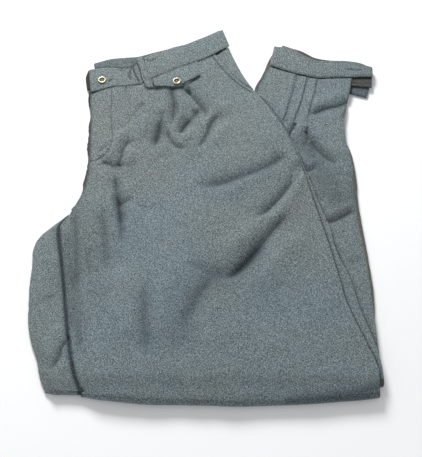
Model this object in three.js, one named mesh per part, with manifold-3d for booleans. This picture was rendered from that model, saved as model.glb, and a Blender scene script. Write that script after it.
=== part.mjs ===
// Gaucho trousers (bombacha), folded in half down the centre front, laid flat and turned up
// underneath at the knee. Millimetres, +Z up, the floor at z = 0. The waist is at the far left,
// the knee fold runs along the near side and the cuff comes out at the far right.
import * as THREE from 'three';
import ManifoldModule from 'manifold-3d';

const wasm = await ManifoldModule();
wasm.setup();

const CENTRE = { x: 6.4, y: 39.6 }; // middle of the bundle in the tables' own coordinates
const SEAM_GAP = 0.3;              // air between two sewn pieces
const CLOTH = 1.6;                 // one panel of wool-look twill with its turned edge
const BAND = 2.4;                  // waistband and cuff, two cloths and their stiffening
const LOOP = 1.6;                  // belt loop and flap
const HIP_STACK = 10;              // hidden layers under the left front at the hip
const SHIN_STACK = 9.4;            // what the folded-up lower legs add under the thigh
const STRIP_LOW = 5.2;             // hidden layers under the strip beside the crotch
const STRIP_HIGH = 11.5;           // the same beside the knee fold
const LEG_STACK = 7.6;             // hidden layers under the lower leg that comes out
const SNAP_RADIUS = 6.4;           // ring snap
const SNAP_HEIGHT = 1.8;
const SOCKET_RADIUS = 2.9;

const cloth = new THREE.MeshStandardMaterial({ name: 'cloth', color: 0x66757d, roughness: 0.95 });
const facing = new THREE.MeshStandardMaterial({ name: 'facing', color: 0x7c7970, roughness: 0.95 });
const nickel = new THREE.MeshStandardMaterial({ name: 'nickel', color: 0xc9c5ae, metalness: 1, roughness: 0.35 });
const dark = new THREE.MeshStandardMaterial({ name: 'dark', color: 0x3b3a2c, metalness: 0.6, roughness: 0.5 });

const group = new THREE.Group();
group.name = 'gaucho_trousers';

const clamp = (value, low, high) => Math.min(high, Math.max(low, value));
const mix = (a, b, t) => a + (b - a) * t;
const ease = (value) => {
  const t = clamp(value, 0, 1);
  return t * t * (3 - 2 * t);
};

// A column of a table, read smoothly at any place between its first row (0) and its last (1).
function track(rows, key, place) {
  const reach = clamp(place, 0, 1) * (rows.length - 1);
  const index = Math.min(Math.floor(reach), rows.length - 2);
  const t = reach - index;
  const before = rows[Math.max(index - 1, 0)][key];
  const from = rows[index][key];
  const to = rows[index + 1][key];
  const after = rows[Math.min(index + 2, rows.length - 1)][key];
  const leave = (to - before) / 2;
  const arrive = (after - from) / 2;
  return from + leave * t
    + (3 * (to - from) - 2 * leave - arrive) * t * t
    + (2 * (from - to) + leave + arrive) * t * t * t;
}

// Each row of a panel gives its left edge, a point half way across and its right edge.
function planPoint(rows, across, along) {
  const read = (side, mid, far) => {
    const a = track(rows, side, along);
    const b = track(rows, mid, along);
    const c = track(rows, far, along);
    return a + (4 * b - 3 * a - c) * across + (2 * a + 2 * c - 4 * b) * across * across;
  };
  return { x: read('leftX', 'midX', 'rightX'), y: read('leftY', 'midY', 'rightY') };
}

// A fold bends from one end past its middle to its other end, and fades out at both.
function foldHeight(folds, x, y) {
  let height = 0;
  for (const fold of folds) {
    let nearest = Infinity;
    let place = 0;
    for (let step = 0; step <= 8; step += 1) {
      const t = step / 8;
      const px = fold.fromX * (1 - t) * (1 - t) + 2 * fold.viaX * t * (1 - t) + fold.toX * t * t;
      const py = fold.fromY * (1 - t) * (1 - t) + 2 * fold.viaY * t * (1 - t) + fold.toY * t * t;
      const far = Math.hypot(x - px, y - py);
      if (far < nearest) {
        nearest = far;
        place = t;
      }
    }
    const fade = ease(place / 0.2 + fold.start) * ease((1 - place) / 0.35 + 0.05);
    height += fold.rise * fade * Math.exp(-((nearest / fold.wide) ** 2));
  }
  return height;
}

function steps(count) {
  return Array.from({ length: count + 1 }, (_, index) => index / count);
}

function addMesh(name, points, faces, material) {
  const geometry = new THREE.BufferGeometry();
  const flat = points.flatMap((p) => [p.x - CENTRE.x, p.y - CENTRE.y, p.z]);
  geometry.setAttribute('position', new THREE.Float32BufferAttribute(flat, 3));
  geometry.setIndex(faces);
  geometry.computeVertexNormals();
  const mesh = new THREE.Mesh(geometry, material);
  mesh.name = name;
  group.add(mesh);
  return mesh;
}

// A sheet of cloth: its underside through a grid of points, its face one wall further out.
function addSheet(name, across, along, under, wall, material) {
  const wide = across.length;
  const long = along.length;
  const low = along.map((v) => across.map((u) => under(u, v)));
  const first = low[0][0];
  const right = low[0][1];
  const next = low[1][0];
  const turn = Math.sign((right.x - first.x) * (next.y - first.y) - (right.y - first.y) * (next.x - first.x));
  const top = low.map((line, j) => line.map((p, i) => {
    const a = line[Math.min(i + 1, wide - 1)];
    const b = line[Math.max(i - 1, 0)];
    const c = low[Math.min(j + 1, long - 1)][i];
    const d = low[Math.max(j - 1, 0)][i];
    const normal = new THREE.Vector3(a.x - b.x, a.y - b.y, a.z - b.z)
      .cross(new THREE.Vector3(c.x - d.x, c.y - d.y, c.z - d.z)).setLength(turn);
    return { x: p.x + normal.x * wall, y: p.y + normal.y * wall, z: p.z + normal.z * wall };
  }));
  const points = [...low.flat(), ...top.flat()];
  const layer = wide * long;
  const faces = [];
  const quad = (a, b, c, d) => {
    if (turn > 0) faces.push(a, b, c, a, c, d);
    else faces.push(a, c, b, a, d, c);
  };
  for (let j = 0; j < long - 1; j += 1) {
    for (let i = 0; i < wide - 1; i += 1) {
      const a = j * wide + i;
      quad(a + layer, a + 1 + layer, a + wide + 1 + layer, a + wide + layer);
      quad(a, a + wide, a + wide + 1, a + 1);
    }
  }
  const rim = [];
  for (let i = 0; i < wide - 1; i += 1) rim.push(i);
  for (let j = 0; j < long - 1; j += 1) rim.push(j * wide + wide - 1);
  for (let i = wide - 1; i > 0; i -= 1) rim.push((long - 1) * wide + i);
  for (let j = long - 1; j > 0; j -= 1) rim.push(j * wide);
  rim.forEach((a, index) => {
    const b = rim[(index + 1) % rim.length];
    quad(a, b, b + layer, a + layer);
  });
  addMesh(name, points, faces, material);
  return { low, top };
}

// The folded-up lower legs narrow from the knee fold to the cuff; this is their hidden left edge.
const HIDDEN_EDGE = { fromX: 77, fromY: 238, toX: -205, toY: -230, slope: 150 };

function overShin(x, y) {
  const dx = HIDDEN_EDGE.toX - HIDDEN_EDGE.fromX;
  const dy = HIDDEN_EDGE.toY - HIDDEN_EDGE.fromY;
  const side = ((x - HIDDEN_EDGE.fromX) * dy - (y - HIDDEN_EDGE.fromY) * dx) / Math.hypot(dx, dy);
  return ease(0.5 - side / HIDDEN_EDGE.slope);
}

// Height of the surface that the left leg's panels lie on.
function thigh(x, y) {
  return HIP_STACK + SHIN_STACK * overShin(x, y);
}

function strip(y) {
  return mix(STRIP_LOW, STRIP_HIGH, ease((-105 - y) / 145));
}

// Waistband of the left front, a row every 2 cm or so from the centre front to the side:
// low is its seam to the trousers, high its top edge.
const BAND_ROWS = [
  { lowX: -184, lowY: 235, highX: -189, highY: 280 },
  { lowX: -162, lowY: 242, highX: -170, highY: 283 },
  { lowX: -146, lowY: 247, highX: -153, highY: 284 },
  { lowX: -127, lowY: 248, highX: -134, highY: 282 },
  { lowX: -107, lowY: 251, highX: -118, highY: 287 },
  { lowX: -88, lowY: 262, highX: -104, highY: 303 },
  { lowX: -67, lowY: 273, highX: -80, highY: 315 },
  { lowX: -45, lowY: 284, highX: -59, highY: 324 },
  { lowX: -25, lowY: 293, highX: -38, highY: 331 },
  { lowX: -3, lowY: 303, highX: -16, highY: 341 },
  { lowX: 18, lowY: 316, highX: 6, highY: 353 },
  { lowX: 36, lowY: 329, highX: 25, highY: 362 },
];
const POCKET_PLACE = 0.885;        // where along the band's seam the slant pocket begins

// Left front from the waist seam (first row) to the knee fold (last row).
const FRONT_ROWS = [
  { leftX: -184, leftY: 235, midX: -96, midY: 256, rightX: 13, rightY: 306 },
  { leftX: -188, leftY: 213, midX: -92, midY: 228, rightX: 33, rightY: 276 },
  { leftX: -184, leftY: 180, midX: -76, midY: 194, rightX: 56, rightY: 250 },
  { leftX: -184, leftY: 147, midX: -60, midY: 165, rightX: 75, rightY: 234 },
  { leftX: -182, leftY: 112, midX: -42, midY: 125, rightX: 100, rightY: 194 },
  { leftX: -183, leftY: 80, midX: -30, midY: 84, rightX: 122, rightY: 150 },
  { leftX: -190, leftY: 48, midX: -24, midY: 42, rightX: 140, rightY: 100 },
  { leftX: -204, leftY: 16, midX: -20, midY: 2, rightX: 152, rightY: 52 },
  { leftX: -218, leftY: -10, midX: -20, midY: -32, rightX: 163, rightY: 8 },
  { leftX: -211, leftY: -60, midX: -12, midY: -72, rightX: 175, rightY: -40 },
  { leftX: -203, leftY: -105, midX: -5, midY: -112, rightX: 186, rightY: -92 },
  { leftX: -194, leftY: -150, midX: 3, midY: -152, rightX: 198, rightY: -142 },
  { leftX: -185, leftY: -192, midX: 14, midY: -194, rightX: 216, rightY: -188 },
  { leftX: -176, leftY: -234, midX: 26, midY: -238, rightX: 231, rightY: -228 },
  { leftX: -168, leftY: -265, midX: 36, midY: -275, rightX: 233, rightY: -263 },
];

// The left back's turned edge outside the side seam, from the pocket down; right is the fold.
const BACK_ROWS = [
  { leftX: 64, leftY: 219, rightX: 84, rightY: 226 },
  { leftX: 82, leftY: 183, rightX: 106, rightY: 192 },
  { leftX: 102, leftY: 138, rightX: 126, rightY: 150 },
  { leftX: 120, leftY: 92, rightX: 145, rightY: 103 },
  { leftX: 132, leftY: 46, rightX: 161, rightY: 46 },
  { leftX: 146, leftY: 2, rightX: 176, rightY: -3 },
  { leftX: 158, leftY: -42, rightX: 187, rightY: -48 },
  { leftX: 168, leftY: -90, rightX: 202, rightY: -92 },
  { leftX: 180, leftY: -138, rightX: 214, rightY: -140 },
  { leftX: 200, leftY: -184, rightX: 229, rightY: -184 },
  { leftX: 214, leftY: -222, rightX: 237, rightY: -222 },
  { leftX: 217, leftY: -244, rightX: 238.5, rightY: -246 },
];

// The right leg's back, seen beyond the left leg's inner seam; left is its own inner seam.
const STRIP_ROWS = [
  { leftX: -205, leftY: 17, rightX: -184, rightY: 2 },
  { leftX: -227, leftY: -3, rightX: -193, rightY: -24 },
  { leftX: -244, leftY: -21, rightX: -192, rightY: -48 },
  { leftX: -252, leftY: -43, rightX: -189, rightY: -72 },
  { leftX: -252, leftY: -75, rightX: -185, rightY: -98 },
  { leftX: -251, leftY: -110, rightX: -179, rightY: -126 },
  { leftX: -249, leftY: -150, rightX: -171, rightY: -158 },
  { leftX: -242, leftY: -184, rightX: -164, rightY: -190 },
  { leftX: -232, leftY: -215, rightX: -157, rightY: -218 },
  { leftX: -224, leftY: -243, rightX: -152, rightY: -245 },
  { leftX: -218, leftY: -261, rightX: -147, rightY: -261.5 },
];

// The right leg's front below the knee, from the cuff seam to the knee fold. one, two and three
// are its stitched tucks, slit the edge that the cuff's opening runs down.
const SHIN_ROWS = [
  { edgeX: 107, edgeY: 285, oneX: 143, oneY: 271, twoX: 160, twoY: 267, threeX: 175, threeY: 263, slitX: 231, slitY: 265 },
  { edgeX: 80, edgeY: 240, oneX: 136, oneY: 242, twoX: 153, twoY: 240, threeX: 169, threeY: 237, slitX: 228, slitY: 239 },
  { edgeX: 93, edgeY: 206, oneX: 126, oneY: 208, twoX: 144, twoY: 208, threeX: 161, threeY: 207, slitX: 220, slitY: 207 },
  { edgeX: 111, edgeY: 173, oneX: 118, oneY: 176, twoX: 132, twoY: 177, threeX: 154, threeY: 176, slitX: 213, slitY: 173 },
  { edgeX: 129, edgeY: 135, oneX: 135, oneY: 139, twoX: 142, twoY: 141, threeX: 154, threeY: 141, slitX: 214, slitY: 141 },
  { edgeX: 145, edgeY: 92, oneX: 152, oneY: 95, twoX: 160, twoY: 98, threeX: 172, threeY: 100, slitX: 219, slitY: 101 },
  { edgeX: 158.5, edgeY: 45, oneX: 165, oneY: 48, twoX: 173, twoY: 51, threeX: 184, threeY: 52, slitX: 217, slitY: 53 },
  { edgeX: 173, edgeY: -3, oneX: 179, oneY: -2, twoX: 187, twoY: 0, threeX: 196, threeY: 1, slitX: 220, slitY: 2 },
  { edgeX: 186, edgeY: -54, oneX: 192, oneY: -54, twoX: 199, twoY: -54, threeX: 207, threeY: -53, slitX: 226, slitY: -52 },
  { edgeX: 202.5, edgeY: -106, oneX: 208, oneY: -107, twoX: 213, twoY: -108, threeX: 219, threeY: -108, slitX: 230, slitY: -108 },
  { edgeX: 216.5, edgeY: -155, oneX: 220, oneY: -157, twoX: 224, twoY: -158, threeX: 228, threeY: -159, slitX: 233, slitY: -159 },
  { edgeX: 227, edgeY: -192, oneX: 229, oneY: -193, twoX: 231, twoY: -194, threeX: 232.5, threeY: -195, slitX: 234.5, slitY: -196 },
];

// The largest folds: from, via and to in plan, how wide, how far up (or down), and whether the
// fold starts at its full height in a seam.
const FRONT_FOLDS = [
  { fromX: -55, fromY: 282, viaX: -53, viaY: 222, toX: -60, toY: 172, wide: 7, rise: 3.6, start: 1 },
  { fromX: -32, fromY: 288, viaX: -14, viaY: 222, toX: -6, toY: 176, wide: 8, rise: 4.0, start: 1 },
  { fromX: -44, fromY: 284, viaX: -40, viaY: 215, toX: -42, toY: 172, wide: 7, rise: -1.6, start: 0.4 },
  { fromX: -15, fromY: 208, viaX: -22, viaY: 186, toX: -46, toY: 160, wide: 8, rise: -2.2, start: 0 },
  { fromX: 36, fromY: 184, viaX: 8, viaY: 190, toX: -8, toY: 148, wide: 9, rise: -2.4, start: 0 },
  { fromX: 36, fromY: 202, viaX: 20, viaY: 210, toX: 6, toY: 198, wide: 12, rise: 2.2, start: 0 },
  { fromX: -72, fromY: 196, viaX: -76, viaY: 168, toX: -84, toY: 136, wide: 10, rise: -2.0, start: 0 },
  { fromX: -160, fromY: 104, viaX: -134, viaY: 92, toX: -128, toY: 142, wide: 10, rise: -1.8, start: 0 },
  { fromX: -150, fromY: 124, viaX: -140, viaY: 114, toX: -138, toY: 140, wide: 9, rise: 2.4, start: 0 },
  { fromX: -136, fromY: 62, viaX: -131, viaY: 10, toX: -128, toY: -42, wide: 14, rise: -2.2, start: 0 },
  { fromX: -114, fromY: 66, viaX: -108, viaY: 8, toX: -104, toY: -54, wide: 16, rise: 2.8, start: 0 },
  { fromX: -156, fromY: -30, viaX: -148, viaY: -80, toX: -140, toY: -130, wide: 16, rise: 2.0, start: 0 },
  { fromX: 120, fromY: 126, viaX: 66, viaY: 94, toX: 6, toY: 64, wide: 17, rise: -2.2, start: 0 },
  { fromX: 112, fromY: 98, viaX: 62, viaY: 66, toX: 12, toY: 34, wide: 17, rise: 2.6, start: 0 },
  { fromX: 146, fromY: 100, viaX: 118, viaY: 66, toX: 84, toY: 24, wide: 10, rise: -2.6, start: 0.2 },
  { fromX: 150, fromY: 72, viaX: 122, viaY: 42, toX: 84, toY: 0, wide: 14, rise: 4.2, start: 0.1 },
  { fromX: 126, fromY: 10, viaX: 78, viaY: -22, toX: 26, toY: -84, wide: 20, rise: -2.6, start: 0 },
  { fromX: 148, fromY: -20, viaX: 104, viaY: -60, toX: 58, toY: -122, wide: 26, rise: 4.4, start: 0 },
  { fromX: 36, fromY: 6, viaX: 6, viaY: -24, toX: -22, toY: -80, wide: 26, rise: 3.0, start: 0 },
];
const SHIN_FOLDS = [
  { fromX: 121, fromY: 176, viaX: 128, viaY: 174, toX: 134, toY: 168, wide: 6, rise: 1.2, start: 0 },
  { fromX: 134, fromY: 172, viaX: 130, viaY: 160, toX: 122, toY: 148, wide: 7, rise: -0.5, start: 0 },
  { fromX: 162, fromY: 206, viaX: 186, viaY: 212, toX: 206, toY: 220, wide: 9, rise: 1.2, start: 0 },
  { fromX: 158, fromY: 156, viaX: 184, viaY: 124, toX: 206, toY: 106, wide: 12, rise: 1.6, start: 0 },
  { fromX: 218, fromY: 22, viaX: 200, viaY: 10, toX: 178, toY: 4, wide: 10, rise: 1.6, start: 0 },
];

const straight = (rows) => rows.map((row) => ({
  ...row,
  midX: (row.leftX + row.rightX) / 2,
  midY: (row.leftY + row.rightY) / 2,
}));

// Past its last row a panel turns down round the knee fold: angle 0 on top, 150 degrees below.
const TURN_STEPS = [0.16, 0.32, 0.5, 0.68, 0.84, 1];
const TURN_ANGLE = (150 * Math.PI) / 180;
const kneeRows = (count) => [...steps(count), ...TURN_STEPS.map((step) => 1 + step)];

function turnDown(point, along, wall) {
  if (along <= 1) return point;
  const angle = (along - 1) * TURN_ANGLE;
  const inner = (point.z - wall) / 2;
  return {
    x: point.x,
    y: point.y - inner * Math.sin(angle),
    z: inner + wall + inner * Math.cos(angle),
  };
}

// Left front: pleated at the waist, gathered nowhere else, its side edge lying on the left back.
const seamPoint = (across) => ({
  x: track(BAND_ROWS, 'lowX', across * POCKET_PLACE),
  y: track(BAND_ROWS, 'lowY', across * POCKET_PLACE),
});

function frontPlan(across, along) {
  const point = planPoint(FRONT_ROWS, across, along);
  const pull = 1 - ease(along / 0.16);
  const seam = seamPoint(across);
  const first = planPoint(FRONT_ROWS, across, 0);
  return { x: point.x + pull * (seam.x - first.x), y: point.y + pull * (seam.y - first.y) };
}

function frontUnder(across, along) {
  const plan = frontPlan(across, along);
  const left = plan.x - track(FRONT_ROWS, 'leftX', along);
  const lies = plan.y > -2 ? 7.6 : strip(plan.y) + CLOTH + SEAM_GAP + 0.3;
  const level = mix(lies, thigh(plan.x, plan.y), ease(left / 26));
  const right = track(FRONT_ROWS, 'rightX', along) - plan.x;
  const calm = ease((left - 10) / 26) * ease((right - 2) / 26);
  const fold = foldHeight(FRONT_FOLDS, plan.x, plan.y);
  const z = level + (fold < 0 ? calm : ease((left - 10) / 26)) * fold;
  return turnDown({ ...plan, z }, along, CLOTH);
}

const frontTop = (x, y) => thigh(x, y) + foldHeight(FRONT_FOLDS, x, y) + CLOTH;
addSheet('left_front', steps(26), kneeRows(29), frontUnder, CLOTH, cloth);

// Left back: its fold at the side shows as a narrow strip outside the left front's side seam.
const backRows = straight(BACK_ROWS);
addSheet('left_back', [0, 0.3, 0.55, 0.75, 0.9, 1], steps(22), (across, along) => {
  const plan = planPoint(backRows, across, along);
  const roll = 3.0 * ease((across - 0.5) / 0.5);
  return { ...plan, z: thigh(plan.x, plan.y) - CLOTH - 1.2 - roll };
}, CLOTH, cloth);

// Right back: the strip of the under leg beyond the inner seam, turned round the same knee fold.
const stripRows = straight(STRIP_ROWS);
addSheet('right_back', [0, 0.07, 0.2, 0.4, 0.6, 0.8, 1], kneeRows(20), (across, along) => {
  const plan = planPoint(stripRows, across, along);
  const roll = (strip(plan.y) - 2.6) * (1 - ease(across / 0.22));
  return turnDown({ ...plan, z: strip(plan.y) - roll }, along, CLOTH);
}, CLOTH, cloth);

// Right front below the knee: three stitched tucks shingle it under the cuff, then open.
const LANES = ['edge', 'one', 'two', 'three', 'slit'];
const TUCK_STEP = 0.035;
const tuckLanes = [0, 0.35, 0.7, 1 - TUCK_STEP, 1 + TUCK_STEP, 1.5, 2 - TUCK_STEP, 2 + TUCK_STEP, 2.5,
  3 - TUCK_STEP, 3 + TUCK_STEP / 3, 3.25, 3.5, 3.75, 3.9, 4];

function shinUnder(lane, along) {
  const index = Math.min(Math.floor(lane), 3);
  const part = lane - index;
  const read = (axis) => mix(
    track(SHIN_ROWS, LANES[index] + axis, along),
    track(SHIN_ROWS, LANES[index + 1] + axis, along),
    part,
  );
  const x = read('X');
  const y = read('Y');
  const tuck = index < 3 ? 1.5 * part ** 2 * (1 - ease((along - 0.22) / 0.08)) : 0;
  const roll = 2.0 * ease((lane - 3.7) / 0.3) * ease((along - 0.05) / 0.08);
  return { x, y, z: LEG_STACK + tuck + foldHeight(SHIN_FOLDS, x, y) - roll };
}

addSheet('right_shin_front', tuckLanes, steps(26), shinUnder, CLOTH, cloth);

// Pocket facing: the hip piece seen inside the slant pocket, sewn into the side seam.
const FACING_ROWS = [
  { leftX: 5, leftY: 301, rightX: 34, rightY: 327.5 },
  { leftX: 17, leftY: 285, rightX: 39.5, rightY: 313 },
  { leftX: 27, leftY: 270, rightX: 45, rightY: 299 },
  { leftX: 38, leftY: 256, rightX: 52, rightY: 282 },
  { leftX: 49, leftY: 245, rightX: 59.5, rightY: 265 },
  { leftX: 58, leftY: 234, rightX: 68, rightY: 249 },
  { leftX: 66, leftY: 226, rightX: 75.5, rightY: 236 },
];
const facingRows = straight(FACING_ROWS);
const facingUnder = (across, along) => {
  const plan = planPoint(facingRows, across, along);
  const roll = 1.6 * ease((across - 0.75) / 0.25);
  return { ...plan, z: thigh(plan.x, plan.y) - CLOTH - 0.5 - roll };
};

// It stops short of the left back, which starts below it.
addSheet('pocket_facing', [0, 0.35, 0.65, 0.85, 1], steps(10).map((v) => v * 0.93), facingUnder, CLOTH, cloth);

// Fly shield: the right front's edge and the placket behind it, a little outside the centre front.
const SHIELD_ROWS = [
  { leftX: -187, leftY: 245, rightX: -173, rightY: 243 },
  { leftX: -189, leftY: 226, rightX: -173, rightY: 224 },
  { leftX: -187, leftY: 208, rightX: -172, rightY: 206 },
  { leftX: -185, leftY: 190, rightX: -171, rightY: 188 },
  { leftX: -186, leftY: 173, rightX: -170, rightY: 171 },
  { leftX: -185, leftY: 160, rightX: -170, rightY: 157 },
  { leftX: -186, leftY: 140, rightX: -170, rightY: 138 },
  { leftX: -185, leftY: 118, rightX: -171, rightY: 116 },
  { leftX: -185, leftY: 98, rightX: -172, rightY: 96 },
  { leftX: -187, leftY: 83, rightX: -174, rightY: 78 },
  { leftX: -190, leftY: 70, rightX: -177, rightY: 62 },
  { leftX: -187, leftY: 58, rightX: -181, rightY: 48 },
  { leftX: -193, leftY: 40, rightX: -188, rightY: 32 },
  { leftX: -201, leftY: 25, rightX: -196, rightY: 20 },
];
const shieldRows = straight(SHIELD_ROWS);
addSheet('fly_shield', [0, 0.2, 0.5, 1], steps(28), (across, along) => {
  const plan = planPoint(shieldRows, across, along);
  const ripple = 0.5 * Math.sin(along * 26) * (1 - across);
  return { ...plan, z: 5.6 - 2.4 * (1 - ease(across / 0.6)) + ripple * 0.6 };
}, CLOTH, cloth);

// Waistband. The left front's half lies on the back's, which shows as a strip above it; the
// right half's buttonhole end looks out under the centre front.
const BACK_BAND_ROWS = [
  { leftX: -176, leftY: 262, rightX: -183, rightY: 293.5 },
  { leftX: -150, leftY: 268, rightX: -156, rightY: 302.5 },
  { leftX: -124, leftY: 270, rightX: -134, rightY: 303.5 },
  { leftX: -102, leftY: 279, rightX: -113, rightY: 306 },
  { leftX: -78, leftY: 290, rightX: -90, rightY: 315 },
  { leftX: -42, leftY: 301, rightX: -53, rightY: 328.5 },
  { leftX: -17, leftY: 313, rightX: -28, rightY: 337.5 },
  { leftX: 1, leftY: 323, rightX: -10, rightY: 346.5 },
  { leftX: 13, leftY: 330, rightX: 3, rightY: 354 },
  { leftX: 29, leftY: 339, rightX: 20, rightY: 364.5 },
];
const RIGHT_END_ROWS = [
  { leftX: -174, leftY: 286, rightX: -190, rightY: 284 },
  { leftX: -173, leftY: 276, rightX: -193, rightY: 272 },
  { leftX: -173, leftY: 266, rightX: -192.5, rightY: 263 },
  { leftX: -173, leftY: 247, rightX: -190, rightY: 247.5 },
];
const backBandRows = straight(BACK_BAND_ROWS);
addSheet('waistband_back', [0, 0.5, 0.85, 1], steps(20), (across, along) => {
  const plan = planPoint(backBandRows, across, along);
  return { ...plan, z: 6.2 - 1.0 * ease((across - 0.8) / 0.2) };
}, BAND, cloth);

const rightEndRows = straight(RIGHT_END_ROWS);
addSheet('waistband_right_end', [0, 0.4, 0.8, 1], steps(6), (across, along) => {
  const plan = planPoint(rightEndRows, across, along);
  return { ...plan, z: 2.6 - 0.8 * ease((across - 0.6) / 0.4) };
}, BAND, cloth);

const bandRows = BAND_ROWS.map((row) => ({
  leftX: row.lowX,
  leftY: row.lowY,
  midX: (row.lowX + row.highX) / 2,
  midY: (row.lowY + row.highY) / 2,
  rightX: row.highX,
  rightY: row.highY,
}));
const bandUnder = (across, along) => {
  const plan = planPoint(bandRows, across, along);
  const first = Math.hypot(track(BAND_ROWS, 'highX', along) - track(BAND_ROWS, 'lowX', along),
    track(BAND_ROWS, 'highY', along) - track(BAND_ROWS, 'lowY', along));
  const lift = 0.4 / first;
  const tuck = planPoint(bandRows, mix(lift, 1, across), along);
  const ends = ease(along / 0.04) * ease((1 - along) / 0.05);
  return { ...tuck, z: 9.2 + 0.6 * ends * Math.sin(across * Math.PI) + 0.5 * Math.sin(plan.x / 11) ** 2 };
};
const frontBand = addSheet('waistband_left_front', [0, 0.12, 0.5, 0.88, 1], steps(30), bandUnder, BAND, cloth);

// Belt loop: a narrow strip sewn at the band's top edge and slanting across it to below the seam.
const LOOP_ROWS = [
  { leftX: -115, leftY: 300, rightX: -104, rightY: 304 },
  { leftX: -111, leftY: 290, rightX: -101, rightY: 292 },
  { leftX: -107, leftY: 278, rightX: -95, rightY: 277 },
  { leftX: -104, leftY: 265, rightX: -90, rightY: 263 },
  { leftX: -100, leftY: 253, rightX: -87, rightY: 252 },
  { leftX: -95, leftY: 243, rightX: -85, rightY: 244 },
];
const loopRows = straight(LOOP_ROWS);
addSheet('belt_loop', [0, 0.25, 0.5, 0.75, 1], steps(12), (across, along) => {
  const plan = planPoint(loopRows, across, along);
  const arch = 1.7 * Math.sin(clamp(along / 0.86, 0, 1) * Math.PI) ** 2;
  return { ...plan, z: 12.5 - 0.5 * ease((along - 0.75) / 0.2) + arch + 0.4 * Math.sin(across * Math.PI) };
}, LOOP, cloth);

// Coin-pocket flap: five-sided, its top edge in the waist seam, lying on the pleated front.
const FLAP_ROWS = [
  { leftX: -82.5, leftY: 245, rightX: -87.5, rightY: 260.5 },
  { leftX: -66, leftY: 244, rightX: -71, rightY: 269.5 },
  { leftX: -48, leftY: 244.5, rightX: -54, rightY: 279 },
  { leftX: -30, leftY: 255, rightX: -36, rightY: 287 },
  { leftX: -11, leftY: 267, rightX: -16, rightY: 295.5 },
];
const flapRows = straight(FLAP_ROWS);
const FLAP_LIFT = 1.1;
function flapUnder(across, along) {
  const plan = planPoint(flapRows, across, along);
  const rest = frontTop(plan.x, plan.y) + FLAP_LIFT;
  return { ...plan, z: Math.max(rest, 12.6) };
}
const flap = addSheet('coin_pocket_flap', [0, 0.3, 0.6, 0.85, 1], steps(16), flapUnder, LOOP, cloth);

// Cuff. The front half carries the buttonhole tab past the slit; the back half of the same loop
// looks out below it, and the left leg's cuff lies under both.
const CUFF_ROWS = [
  { leftX: 106.5, leftY: 288, rightX: 115, rightY: 327 },
  { leftX: 126, leftY: 278.5, rightX: 136, rightY: 324 },
  { leftX: 141, leftY: 273.5, rightX: 150, rightY: 313.5 },
  { leftX: 158, leftY: 269, rightX: 165, rightY: 304.5 },
  { leftX: 176, leftY: 264.5, rightX: 180, rightY: 298.5 },
  { leftX: 200, leftY: 265.2, rightX: 202, rightY: 297.5 },
  { leftX: 226, leftY: 266, rightX: 226, rightY: 297 },
  { leftX: 247, leftY: 266.5, rightX: 248, rightY: 291 },
  { leftX: 264, leftY: 267, rightX: 264.5, rightY: 286 },
];
const CUFF_BACK_ROWS = [
  { leftX: 112, leftY: 290, rightX: 121, rightY: 319 },
  { leftX: 142, leftY: 276, rightX: 150, rightY: 307 },
  { leftX: 168, leftY: 266, rightX: 172, rightY: 296 },
  { leftX: 196, leftY: 260, rightX: 198, rightY: 292 },
  { leftX: 222, leftY: 253, rightX: 224, rightY: 288 },
  { leftX: 244, leftY: 250, rightX: 247, rightY: 283 },
  { leftX: 261, leftY: 248.5, rightX: 265.5, rightY: 279 },
];
const SECOND_CUFF_ROWS = [
  { leftX: 229, leftY: 232, rightX: 234, rightY: 272 },
  { leftX: 240, leftY: 229, rightX: 247, rightY: 271 },
  { leftX: 251, leftY: 225.5, rightX: 262, rightY: 268 },
];
const SECOND_CUFF = 4.4;

const cuffRows = straight(CUFF_ROWS);
const cuffUnder = (across, along) => {
  const plan = planPoint(cuffRows, mix(0.012, 1, across), along);
  const edge = ease(across / 0.3) * ease((1 - across) / 0.3);
  return { ...plan, z: 8.2 + 0.5 * edge + 0.5 * Math.sin(along * 9) ** 2 };
};
addSheet('cuff_front', [0, 0.12, 0.5, 0.88, 1], steps(22), cuffUnder, BAND, cloth);

const cuffBackRows = straight(CUFF_BACK_ROWS);
addSheet('cuff_back', [0, 0.12, 0.5, 1], steps(12), (across, along) => {
  const plan = planPoint(cuffBackRows, across, along);
  return { ...plan, z: 5.0 - 0.3 * ease((0.25 - across) / 0.25) };
}, BAND, cloth);

const secondCuffRows = straight(SECOND_CUFF_ROWS);
addSheet('left_cuff', [0, 0.15, 0.5, 0.85, 1], steps(6), (across, along) => ({
  ...planPoint(secondCuffRows, across, along),
  z: 0,
}), SECOND_CUFF, cloth);

// Ring snaps: a rolled ring round a sunk socket, closed, their posts inside the cloth left out.
function addTurned(name, profile, sides, centre, material) {
  const points = [];
  const faces = [];
  profile.forEach((ring) => {
    for (let index = 0; index < sides; index += 1) {
      const angle = (2 * Math.PI * index) / sides;
      points.push({
        x: centre.x + ring.radius * Math.cos(angle),
        y: centre.y + ring.radius * Math.sin(angle),
        z: centre.z + ring.height,
      });
    }
  });
  profile.forEach((_, line) => {
    const next = (line + 1) % profile.length;
    for (let index = 0; index < sides; index += 1) {
      const a = line * sides + index;
      const b = line * sides + ((index + 1) % sides);
      const c = next * sides + ((index + 1) % sides);
      const d = next * sides + index;
      faces.push(a, b, c, a, c, d);
    }
  });
  addMesh(name, points, faces, material);
}

const RING_PROFILE = [
  { radius: SOCKET_RADIUS + 0.3, height: 0 },
  { radius: SNAP_RADIUS - 0.4, height: 0 },
  { radius: SNAP_RADIUS, height: 0.45 * SNAP_HEIGHT },
  { radius: SNAP_RADIUS - 0.7, height: 0.9 * SNAP_HEIGHT },
  { radius: SNAP_RADIUS - 1.7, height: SNAP_HEIGHT },
  { radius: SNAP_RADIUS - 2.8, height: 0.8 * SNAP_HEIGHT },
  { radius: SOCKET_RADIUS + 0.3, height: 0.4 * SNAP_HEIGHT },
];

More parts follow.
